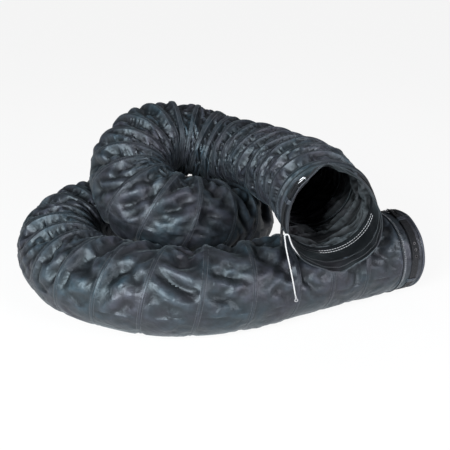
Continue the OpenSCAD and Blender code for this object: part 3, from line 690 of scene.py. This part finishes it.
def relax(pos, base, normal, inv, limits, rests, lean):
    """Lets the free cells settle between the wires. inv is 1 for a free cell and 0 for one on a wire."""
    around, along, diag_up, diag_down = rests
    inv_n = next_column(inv)
    spare = np.zeros_like(pos[:1])
    for it in range(RELAX_STEPS):
        acc = np.zeros_like(pos)
        nxt = next_column(pos)
        a, b = pull(pos, nxt, inv, inv_n, around, 1.0)
        acc += a + previous_column(b)
        a, b = pull(pos[:-1], pos[1:], inv[:-1], inv[1:], along, 1.0)
        acc[:-1] += a
        acc[1:] += b
        a, b = pull(pos[:-1], nxt[1:], inv[:-1], inv_n[1:], diag_up, 0.5)
        acc[:-1] += a
        acc += previous_column(np.concatenate([spare, b]))
        a, b = pull(pos[1:], nxt[:-1], inv[1:], inv_n[:-1], diag_down, 0.5)
        acc[1:] += a
        acc += previous_column(np.concatenate([b, spare]))
        # bending: a cell moves towards the middle of its neighbours
        if it % 2 == 0:
            lengthwise = np.zeros_like(pos)
            lengthwise[1:-1] = (pos[:-2] + pos[2:]) / 2 - pos[1:-1]
            crosswise = (previous_column(pos) + nxt) / 2 - pos
            crosswise[:, 0] = 0
            acc += (0.001 + 0.029 * lean)[..., None] * (lengthwise + crosswise) * inv[..., None]
        pos = pos + acc * (RELAX_RATE * inv)[..., None]
        pos[..., 2] -= SINK * inv
        off = ((pos - base) * normal).sum(-1)
        over = np.clip(off, *limits) - off
        pos += normal * (over * inv)[..., None]
        pos[..., 2] = np.maximum(pos[..., 2], FLOOR_GAP)
    return pos


def build_sleeve():
    """Points of the cloth's grid in millimetres, the turn of each, and its cloth distance from the wire."""
    row = np.arange(TOTAL_ROWS)
    turn0 = (row // ROWS)[:, None] + np.arange(AROUND)[None, :] / AROUND - 1
    ang = np.broadcast_to(2 * math.pi * np.arange(AROUND) / AROUND, turn0.shape)
    mid = np.clip(turn0 + 0.5, 0.25, TURNS - 0.25)
    crest = np.full_like(mid, CREST_R)
    half_turn = duct_point(mid + 0.25, ang, crest) - duct_point(mid - 0.25, ang, crest)
    gap = np.linalg.norm(half_turn, axis=-1) * 2
    share, dip, cloth_off, free_gap = sleeve_rows(gap)
    cloth = np.minimum(PITCH - 2 * BAND[-1] + 8, free_gap * 1.16 + 7)
    cloth = np.maximum(cloth, free_gap * 1.07)
    u_raw = turn0 + share
    u = np.clip(u_raw, 0, TURNS)
    wired = smoothstep(u, 0.5, 1.0) * smoothstep(TURNS - u, 0.5, 1.0)
    dip = BAND_DIP[-1] + (dip - BAND_DIP[-1]) * wired
    at_rim = smoothstep(u, 0, 0.12) * smoothstep(TURNS - u, 0, 0.12)
    dip = dip * at_rim + 0.9 * (1 - at_rim)
    base = duct_point(u, ang, CREST_R - dip)
    normal = unit(duct_point(u, ang, CREST_R - dip + 1) - base)
    # the pocket lifts off the wire here and there, more where the duct is bunched
    loose = np.clip(72 - gap, 0, 30) / 30
    lift = np.clip(smooth_noise(u.shape, 15, 11), -0.2, 1.8) * (0.35 + 1.5 * loose) * wired * at_rim
    base = base + normal * lift[..., None]
    between_wires = (row % ROWS >= POCKET) & (row % ROWS < POCKET + FREE)
    free = between_wires[:, None] & (u_raw > 0.02) & (u_raw < TURNS - 0.02)

    slack = np.sqrt(np.maximum(0, (cloth / 2) ** 2 - (free_gap / 2) ** 2))
    lean = smoothstep(-gap, -STRETCHED, -BUNCHED)
    kept = 1 - lean
    start, in_limit, out_limit, arch = folded_start(u_raw, ang, gap, slack, lean)
    pos = base + normal * np.where(free, start, 0)[..., None]
    inv = free.astype(float)
    rests = rest_lengths(pos, base, free, ang, gap, cloth / (FREE + 1), kept)
    pos = relax(pos, base, normal, inv, (in_limit, out_limit), rests, lean)

    # soft passes take small zigzags off the pressed-in creases
    for _ in range(4):
        soft = (next_column(pos) + previous_column(pos)) / 2 - pos
        soft[:, 0] = 0
        soft[1:-1] += (pos[:-2] + pos[2:]) / 2 - pos[1:-1]
        sharp = smoothstep(length(soft), 1.6, 3.6)
        pos = pos + soft * (0.25 * inv * kept * sharp)[..., None]
    deg = np.degrees(ang)
    for u0, u1, a0, a1, depth in HANGING:
        here = 1
        for x, low, high, edge in ((u, u0, u1, TURN_EDGE), (deg, a0, a1, ANGLE_EDGE)):
            here = here * smoothstep(x, low, low + edge) * smoothstep(-x, -high, edge - high)
        pos += normal * (depth * here * np.clip(arch, 0, 1) ** 0.5 * free)[..., None]
    pos[..., 2] = np.maximum(pos[..., 2], 0.0)
    return pos, u_raw, cloth_off


def sleeve_piece():
    pos, u_raw, cloth_off = build_sleeve()
    idx = np.arange(TOTAL_ROWS * AROUND).reshape(TOTAL_ROWS, AROUND)
    # past the last column comes the first column of the next turn
    idx = np.hstack([idx, np.vstack([idx[ROWS:, :1], np.zeros((ROWS, 1), int)])])
    a, b, c, d = (part.T.ravel() for part in (idx[:-1, :-1], idx[:-1, 1:], idx[1:, 1:], idx[1:, :-1]))
    column, row = divmod(np.arange(len(a)), TOTAL_ROWS - 1)
    gone = ((u_raw < 0) | (u_raw > TURNS)).ravel()
    keep = (column < AROUND - 1) | (row + 1 + ROWS < TOTAL_ROWS)
    keep &= ~(gone[a] & gone[b] & gone[c] & gone[d])
    faces = np.stack([a, b, c, d], 1)[keep]
    cloth_off = cloth_off.ravel() / 10
    lo = cloth_off[a]
    hi = np.where(row % ROWS == ROWS - 1, 0.0, cloth_off[d])
    girth = 2 * math.pi * CREST_R / 10
    along0 = (row // ROWS + column / AROUND) * girth
    along1 = along0 + girth / AROUND
    uvs = np.stack([lo, along0, lo, along1, hi, along1, hi, along0], 1).reshape(-1, 4, 2)[keep]
    # faces squeezed to nothing at a rim are dropped
    pts = to_metres(pos.reshape(-1, 3))
    p = pts[faces]
    area = np.linalg.norm(np.cross(p[:, 2] - p[:, 0], p[:, 3] - p[:, 1]), axis=1)
    keep = area > 1e-9
    faces, uvs = faces[keep], uvs[keep]
    used = np.unique(faces)
    remap = np.full(len(pts), -1)
    remap[used] = np.arange(len(used))
    # turned round, so that the faces look outwards
    faces = remap[faces][:, ::-1]
    uvs = uvs[:, ::-1]
    obj = link("duct_sleeve_cloth", pts[used], faces, [VINYL, INSIDE], uvs.reshape(-1, 2))
    obj.data.set_sharp_from_angle(angle=rad(34))
    solidify(obj, 1.0, -1).material_offset = 1
    finish_piece(obj, "duct_sleeve")


# ---- the near cuff's cloth: drawn up to a point above, drooping below and pressed in at the right
# radius of the rim, and height where the cloth starts to leave its round, each by angle in degrees
RIM = [(0, 95), (10, 92), (22, 88), (35, 87), (46, 88), (58, 95), (70, 104), (80, 114), (90, 124), (98, 134),
       (105, 143), (111, 139), (118, 132), (126, 128), (134, 126), (143, 122), (152, 117), (160, 113),
       (169, 109), (180, 107), (192, 106.5), (205, 106), (220, 106), (235, 106), (248, 106), (260, 108),
       (270, 115), (278, 120), (286, 117), (296, 112), (310, 110), (326, 108), (340, 103), (350, 99),
       (360, 95)]
FLARE_FROM = [(0, 10), (60, 20), (75, 56), (88, 46), (95, 6), (112, 6), (119, 26), (126, 45), (165, 56),
              (200, 60), (255, 60), (300, 56), (340, 10), (360, 10)]
RIM_Z = 86
EASE = 0.06
N_LIP = 192  # points round the lip
N_CUFF = 160  # points round a cuff
# a cuff's section as radius and height: its seam allowance and outside, then back down its inside
CUFF_OUTSIDE = [
    (106.3, 0.0), (107.2, 0.5), (107.35, 1.4), (107.1, 2.6), (106.0, 3.9), (105.0, 5.3), (103.9, 6.9),
    (103.25, 9.0), *((CUFF_RO, z) for z in (13, 18, 23, 27, 33, 40, 46, 50, 54)), (103.25, 58), (103.0, 59.8)]
CUFF_INSIDE = [
    (102.2, 59.9), *((CUFF_RI, z) for z in range(58, 9, -6)), (101.6, 7), (100.6, 5.0), (99.95, 3.2),
    (100.2, 1.6), (101.4, 0.4)]


def near_flare(deg, z):
    """How far the near cloth stands off its round at an angle in degrees and a height from the seam."""
    deg = np.asarray(deg, float) % 360
    rim = np.interp(deg, *zip(*RIM)) - CUFF_MID
    start = np.interp(deg, *zip(*FLARE_FROM))
    t = np.clip((z - start) / (RIM_Z - start), 0, None)
    return rim * t * t / (t + EASE) * (1 + EASE)


def no_flare(deg, z):
    return np.zeros_like(np.asarray(deg, float))


def cuff_piece(name, place, node, flare):
    a = 2 * math.pi * np.arange(N_CUFF) / N_CUFF
    waves = [ring_noise(N_CUFF, w) for w in (9, 17, 34)]
    pts = []
    for r, z in CUFF_OUTSIDE + CUFF_INSIDE:
        under_belt = smoothstep(z, 22, 26) * (1 - smoothstep(z, 47, 50))
        free = smoothstep(z, 5, 12) * (1 - 0.94 * under_belt)
        shifted = np.roll(waves[1], int(z * 0.6)), np.roll(waves[2], int(-z * 0.5))
        field = 0.40 * waves[0] + 0.34 * shifted[0] + 0.22 * shifted[1]
        outside = r > 102.5
        push = free * np.clip(field * 0.75, -1.0, 1.5) * (1 if outside else 0.3)
        rr = r + (push if outside else np.abs(push))
        rr = rr + flare(np.degrees(a), z)
        height = z + 0.25 * waves[1] * smoothstep(z, 40, 60)
        pts.append(ring_points(rr, a, height))
    # the inside rows take the near-black cloth of painted shade
    ids = np.repeat([0] * (len(CUFF_OUTSIDE) - 1) + [1] * (len(CUFF_INSIDE) + 1), N_CUFF)
    ring_piece(name, place, pts, [CUFF_VINYL, SHADED_LINING], node, ids)


# ---- stitches: one mesh of small closed threads for each group of seams
STITCH_SIDES = 6
STITCH_RINGS = ((-0.5, 0.35), (-0.36, 1.0), (0.36, 1.0), (0.5, 0.35))  # shares of its length and radius


def stitch_mesh(name, runs, mat, radius=0.34):
    """runs is a list of (centre, direction, length) in metres; radius is in millimetres."""
    rings, sides = len(STITCH_RINGS), STITCH_SIDES
    shell = [(a, d, c, b) for a, b, c, d in grid_faces(rings, sides, closed_cols=True)]
    shell += [tuple(reversed(range(sides))), tuple(range((rings - 1) * sides, rings * sides))]
    verts, faces = [], []
    for centre, direction, size in runs:
        direction = unit(direction)
        ref = np.array([0, 0, 1.0]) if abs(direction[2]) < 0.8 else np.array([1.0, 0, 0])
        u = unit(np.cross(direction, ref))
        v = np.cross(direction, u)
        base = len(verts)
        for t, r in STITCH_RINGS:
            for k in range(sides):
                b = 2 * math.pi * k / sides
                spoke = u * math.cos(b) + v * math.sin(b)
                verts.append(centre + direction * size * t + spoke * radius * MM * r)
        faces += [tuple(base + k for k in f) for f in shell]
    finish_piece(link(name, verts, faces, [mat]), None)


def stitch_ring(place, r_of, z, a0=0, a1=360, pitch=4.6, size=3.3):
    """Stitches along a ring; r_of gives the radius at an angle in degrees."""
    runs = []
    n = max(1, int(rad(a1 - a0) * 103 / pitch))
    for i in range(n):
        a = a0 + (a1 - a0) * (i + 0.5) / n
        ends = place(np.array([np.append(polar(r_of(b), b), z) for b in (a - 0.5, a + 0.5)]))
        runs.append(((ends[0] + ends[1]) / 2, ends[1] - ends[0], size * MM))
    return runs


def stitch_line(pts, pitch, size):
    """Stitches along a closed line of points in metres."""
    total = np.concatenate([[0], np.cumsum(np.linalg.norm(np.roll(pts, -1, 0) - pts, axis=1))])
    count = int(total[-1] / (pitch * MM))
    s = (np.arange(count) + 0.5) * total[-1] / count
    closed = np.vstack([pts, pts[:1]])
    centre, ahead, behind = (
        np.stack([np.interp(s + step, total, closed[:, k]) for k in range(3)], -1) for step in (0, MM, -MM))
    return [(centre[i], ahead[i] - behind[i], size * MM) for i in range(count)]


# ---- near mouth: a soft lip with a turned edge in its last third
LIP_STEPS = np.linspace(0, 1, 15)
# half its thickness
LIP_HALF = np.interp(LIP_STEPS, [0, 0.55, 0.60, 0.97, 1.0], [0.6, 0.62, 1.25, 1.3, 0.75])
LIP_SEAMS = ((1, 0), (8, 0), (8, 0.5))  # rows of thread: at the cuff, and two along the turned edge


def lip_piece():
    a = 2 * math.pi * np.arange(N_LIP) / N_LIP
    soft = [ring_noise(N_LIP, w) for w in (7, 15, 30)]
    mids = []
    for t in LIP_STEPS:
        e = t * t * (3 - 2 * t)
        r = CUFF_MID + near_flare(np.degrees(a), LIP_Z + LIP_L * t)
        waves = 0.8 * np.roll(soft[0], int(5 * t)) + 0.7 * np.roll(soft[1], int(-7 * t)) + 0.3 * soft[2]
        wrinkle = math.sin(math.pi * min(1, t * 1.05)) * waves
        z = LIP_Z + LIP_L * t + e * (0.9 * soft[0] + 0.5 * soft[1])
        mids.append(ring_points(r + wrinkle, a, z))
    mids = np.array(mids)
    # the sheet's own direction outwards
    normal = unit(np.cross(np.roll(mids, -1, 1) - np.roll(mids, 1, 1), np.gradient(mids, axis=0)))
    out = mids + normal * LIP_HALF[:, None, None]
    inn = mids - normal * LIP_HALF[:, None, None]
    rows = len(LIP_STEPS)
    # the rim's rows get the lighter cloth of painted highlight, the inside rows the near-black cloth of
    # painted shade
    ids = np.repeat([0] * (rows - 2) + [1] * 3 + [2] * (rows - 1), N_LIP)
    section_lines = np.concatenate([out, inn[::-1]])
    ring_piece("near_mouth_lip_cloth", near_place, section_lines, [CUFF_VINYL, LIT_EDGE, SHADED_LINING],
               "near_mouth_lip", ids)
    runs = []
    for row, share in LIP_SEAMS:
        line = mids[row] * (1 - share) + mids[row + 1] * share
        for side in (-1, 1):
            runs += stitch_line(near_place(line + side * normal[row] * (LIP_HALF[row] + 0.12)), 4.4, 3.1)
    stitch_mesh("near_lip_stitches", runs, DARK_THREAD)


# ---- belts, tails and loops
STRAP_COLS = (0, 1.2, 3, 5, 7.2, 9.5, 11.8, 14, 16, 17.8, 19)
SLOT_HALF = 2.3  # half the width of the tongue's slot
# loops: degrees on from the buckle, and the radius where the strap that they hold begins
LOOPS = ((20, TAIL_R), (115, BELT_R), (205, BELT_R), (290, BELT_R))
LOOP_HALF = 5
TAIL_CELL, TAIL_COLS = 0.76, 26


def belt_piece(name, place, heel, leave, node, flare):
    """A strap folded round the buckle's bar, then round the cuff to where its tail leaves."""
    half = STRAP_T / 2
    stitched = BELT_R + STRAP_T + LIE + half
    fold_r = (FOLD_RO + EYE_R) / 2
    path = [polar(stitched, b) for b in (14, 12, 10, 8)]
    land = polar(stitched, 8) - np.array([BAR_R, 0])
    touch = math.acos(min(1, fold_r / np.linalg.norm(land)))
    start = math.degrees(math.atan2(land[1], land[0])) - math.degrees(touch)
    path += [np.array([BAR_R, 0]) + polar(fold_r, start - (180 + start) * k / 14) for k in range(14)]
    end = 360 - BUCKLE_A + 3
    path += [polar(BELT_R + half, b) for b in np.arange(0, end + 0.01, end / 150)]
    path += [polar(OVER_R + half, b) for b in (358, 360, 362)]
    path += [polar(TAIL_R + half, b) for b in np.arange(370, 360 + leave + 0.01, 2.0)]
    path = np.asarray(path, float)
    angles = [math.degrees(math.atan2(p[1], p[0])) for p in path]
    reach = math.degrees((FOLD_RO + 2) / BELT_R)

    def in_slot(corners):
        (i, j), (_, k) = corners[0], corners[2]
        low, high = sorted((angles[i], angles[i + 1]))
        if high - low > 180:
            low, high = high - 360, low
        middle = (cols[j] + cols[k]) / 2
        return abs(middle - STRAP_W / 2) < SLOT_HALF and high > -BUCKLE_A and low < reach

    cos_h, sin_h = math.cos(rad(heel)), math.sin(rad(heel))
    turned = np.array([(cos_h * x - sin_h * y, sin_h * x + cos_h * y) for x, y in path])
    cols = np.array(STRAP_COLS)
    pts = np.zeros((len(turned), len(cols), 3))
    pts[:, :, :2] = turned[:, None, :]
    pts[:, :, 2] = BELT_Z + cols[None, :]
    x, y, z = pts[:, :, 0], pts[:, :, 1], pts[:, :, 2]
    grow = 1 + flare(np.degrees(np.arctan2(y, x)), z) / np.hypot(x, y)
    pts[:, :, :2] *= grow[:, :, None]
    along = np.concatenate([[0], np.cumsum(np.linalg.norm(np.diff(turned, axis=0), axis=1))])
    faces, uvs = strap_faces(*np.meshgrid(along, cols, indexing="ij"), in_slot)
    obj = link(name, place(pts.reshape(-1, 3)), faces, [WEBBING], uvs)
    solidify(obj, STRAP_T - 0.1)
    bevel = obj.modifiers.new("edge", "BEVEL")
    bevel.width = 0.35 * MM
    bevel.segments = 1
    bevel.limit_method = "ANGLE"
    bevel.angle_limit = rad(50)
    finish_piece(obj, node)


def near_tail_point(s, w):
    """The near tail hangs straight down from where it leaves the belt."""
    return np.stack([np.full_like(s, -TAIL_R - STRAP_T / 2), -0.8 - s, BELT_MID + w], -1)


def far_tail_point(s, w):
    """The far tail lies round the cuff."""
    return ring_points(TAIL_R + STRAP_T / 2, np.radians(112) + (s + 0.8) / TAIL_R, BELT_MID + w)


def tail_mesh(name, to_point, size, place, round_tip, body, node):
    """A strap tail with three eyelet holes; to_point gives its middle surface at s along and w across."""
    s = np.linspace(0, size, int(size / TAIL_CELL) + 1)
    s, w = np.meshgrid(s, np.linspace(-STRAP_W / 2, STRAP_W / 2, TAIL_COLS), indexing="ij")
    if round_tip:
        beyond = np.clip(s - (size - STRAP_W / 2), 0, STRAP_W / 2 - 0.02)
        w = w * np.sqrt(1 - (beyond / (STRAP_W / 2)) ** 2)
    centres = [size - STRAP_W / 2 - EYELET_STEP * k for k in range(3)]
    near = np.min([np.hypot(s - c, w) for c in centres], axis=0)
    faces, uvs = strap_faces(s, w, lambda corners: min(near[c] for c in corners) < EYELET_R)
    obj = link(name, place(to_point(s, w).reshape(-1, 3)), faces, [WEBBING], uvs)
    solidify(obj, STRAP_T - 0.1)
    finish_piece(obj, node, body)


def loops_piece(name, place, heel, node, flare):
    """Fabric loops: each rises from the cuff, crosses the strap and goes back down."""
    cols = 9
    verts, faces = [], []
    for da, held in LOOPS:
        top = held + STRAP_T + LIE
        e = STRAP_W / 2 + 1
        line = [(CUFF_RO + 0.55, -e - 3.4), (CUFF_RO + 0.6, -e - 1.3), (CUFF_RO + 0.95, -e - 0.7),
                (top - 0.3, -e - 0.6), (top + 0.45, -e + 0.2), (top + 0.65, -e + 2),
                (top + 0.7, -3), (top + 0.7, 3)]
        line = line + [(r, -z) for r, z in reversed(line)]
        half = math.degrees(LOOP_HALF / BELT_R)
        base = len(verts)
        for r, z in line:
            for k in range(cols):
                b = heel + da + half * (2 * k / (cols - 1) - 1)
                verts.append(np.append(polar(r + float(flare(b, BELT_MID + z)), b), BELT_MID + z))
        faces += [tuple(base + q for q in f) for f in grid_faces(len(line), cols)]
    obj = link(name, place(np.array(verts)), faces, [BINDING])
    solidify(obj, 1.1)
    finish_piece(obj, node)


# ---- far mouth's bound edge, and the wire's pocket seen inside the bore
HEM_SECTION = [(102.05, 60.3), (102.0, 63), (102.1, 65.4), (102.7, 66.0), (103.7, 66.0), (104.3, 65.4),
               (104.4, 63), (104.3, 60.8), (103.8, 60.2), (102.8, 60.15)]
TAPE_SIDES, TAPE_R = 8, 3.3
TAPE_STEPS = 30  # points in one turn


def hem_piece():
    a = 2 * math.pi * np.arange(N_CUFF) / N_CUFF
    wave = ring_noise(N_CUFF, 12)
    pts = [ring_points(r + 0.12 * wave, a, z + 0.35 * wave * smoothstep(z, 61, 66)) for r, z in HEM_SECTION]
    ring_piece("far_hem_cloth", far_place, pts, [BINDING], "far_hem")


def tape_piece():
    """The fabric pocket round the spring wire."""
    u = np.arange(0.98, TURNS - 0.98, 1 / TAPE_STEPS)
    line = duct_point(u, 2 * math.pi * u, np.full_like(u, WIRE_R - 0.6), low=4.4)
    t = unit(np.gradient(line, axis=0))
    n1 = unit(np.cross(t, section(u)[1]))
    n2 = np.cross(t, n1)
    turns = [2 * math.pi * k / TAPE_SIDES for k in range(TAPE_SIDES)]
    pts = np.stack([line + TAPE_R * (n1 * math.cos(b) + n2 * math.sin(b)) for b in turns], 1)
    faces = grid_faces(len(u), TAPE_SIDES, closed_cols=True)
    faces.append(tuple(range(TAPE_SIDES)))
    faces.append(tuple(reversed([(len(u) - 1) * TAPE_SIDES + k for k in range(TAPE_SIDES)])))
    obj = link("wire_pocket_tape", to_metres(pts.reshape(-1, 3)), faces, [BINDING])
    finish_piece(obj, None)


def seam_stitches():
    """Rows of thread on both cuffs; the near cuff's inside shows two bold pale rows below."""
    dark, far_rows, bold = [], [], []
    for z, r in ((6.9, 104.25), (10.4, 103.5), (51.5, 103.5)):
        dark += stitch_ring(near_place, lambda b: r + float(near_flare(b, z)), z)
    for z in (15.0, 24.0):
        dark += stitch_ring(near_place, lambda b: 101.75 + float(near_flare(b, z)), z, 0, 262)
        bold += stitch_ring(near_place, lambda b: 101.6 + float(near_flare(b, z)), z, 262, 352, 6.0, 4.6)
    for z, r in ((6.9, 104.25), (10.4, 103.5)):
        far_rows += stitch_ring(far_place, lambda b: r, z, pitch=5.2, size=3.9)
    for z, r in ((51.5, 103.5), (62.4, 104.5)):
        dark += stitch_ring(far_place, lambda b: r, z)
    stitch_mesh("cuff_stitches", dark, DARK_THREAD)
    stitch_mesh("far_seam_stitches", far_rows, THREAD, radius=0.42)
    stitch_mesh("near_seam_stitches", bold, THREAD, radius=0.75)


sleeve_piece()
tape_piece()
cuff_piece("near_cuff_cloth", near_place, "near_cuff", near_flare)
cuff_piece("far_cuff_cloth", far_place, "far_cuff", no_flare)
lip_piece()
hem_piece()
belt_piece("near_belt_strap", near_place, NEAR_HEEL, 42, "near_belt", near_flare)
belt_piece("far_belt_strap", far_place, FAR_HEEL, 28, "far_belt", no_flare)
tail_mesh("near_belt_tail_strap", near_tail_point, 68 - 0.8, near_place, True, "near_tail", "near_belt_tail")
tail_mesh("far_belt_tail_strap", far_tail_point, 100 - 0.8, far_place, False, "far_tail", "far_belt_tail")
loops_piece("near_loops_cloth", near_place, NEAR_HEEL, "near_belt_loops", near_flare)
loops_piece("far_loops_cloth", far_place, FAR_HEEL, "far_belt_loops", no_flare)
seam_stitches()


# ---- floor, backdrop and lights
FLOOR_HALF, FLOOR_Z = 12, -0.0005
# name, place, what it faces, size in metres, watts, colour
LAMPS = (
    ("key", (-1.2, -2.15, 1.4), (0, 0, 0.15), 0.9, 105, (0.94, 0.98, 1.0)),
    ("top", (0.2, 0.7, 2.2), (0, 0, 0.1), 1.2, 5, (1.0, 0.98, 1.0)),
    ("fill", (1.8, -1.7, 1.4), (0, 0, 0.15), 0.9, 44, (1.0, 0.97, 1.0)),
)


def add_floor():
    """A pale floor that the camera sees nearly white, and that still keeps the object's shadow."""
    sh = Shader(bpy.data.materials.new("floor"))
    mat = sh.surface(base_color=grey(0.86), roughness=0.9, specular_ior_level=0.1)
    glow = sh.add("Emission", color=grey(1))
    rays = sh.add("LightPath").outputs
    seen = sh.math("MULTIPLY", rays["Is Camera Ray"], 0.90)
    mirrored = sh.math("ADD", rays["Is Glossy Ray"], rays["Is Transmission Ray"], clamp=True)
    share = sh.math("MAXIMUM", seen, sh.math("MULTIPLY", mirrored, 0.35))
    sh.mix_shaders(share, sh.nodes["Principled BSDF"].outputs[0], glow.outputs[0], "Material Output")
    s = FLOOR_HALF
    corners = [(x, y, FLOOR_Z) for x, y in ((-s, -s), (s, -s), (s, s), (-s, s))]
    floor = link("floor", corners, [(0, 1, 2, 3)], [mat], smooth=False)


def add_world():
    world = bpy.data.worlds.new("world")
    bpy.context.scene.world = world
    sh = Shader(world)
    dim = sh.set(sh.nodes["Background"], color=(0.93, 0.97, 1.0), strength=0.06)
    white = sh.add("Background", color=grey(1), strength=1.0)
    seen = sh.add("LightPath").outputs["Is Camera Ray"]
    sh.mix_shaders(seen, dim.outputs[0], white.outputs[0], "World Output")


def add_lamps():
    for name, place, target, size, power, colour in LAMPS:
        data = bpy.data.lights.new(name, "AREA")
        data.size = size
        data.energy = power
        data.color = colour
        lamp = add_object(name, data)
        lamp.location = place
        v = np.array(target, float) - np.array(place, float)
        lamp.rotation_euler = (math.acos(-v[2] / np.linalg.norm(v)), 0, math.atan2(v[1], v[0]) - math.pi / 2)


add_floor()
add_world()
add_lamps()
bpy.context.scene.view_settings.view_transform = "Standard"

# ---- nodes that show as they are, with their own metals
METALS = (
    (PLATED, ("near_buckle_frame", "near_buckle_tongue", "far_buckle_frame", "far_buckle_tongue",
              "near_tail_eyelets", "ground_rivet", "ground_washer", "ground_lug")),
    (BLACKENED, ("far_tail_eyelets",)),
    (SPRING, ("wire_helix", "near_end_hoop", "far_end_hoop")),
)
for metal, names in METALS:
    for name in names:
        for material_slot in NODES[name].material_slots:
            material_slot.material = metal
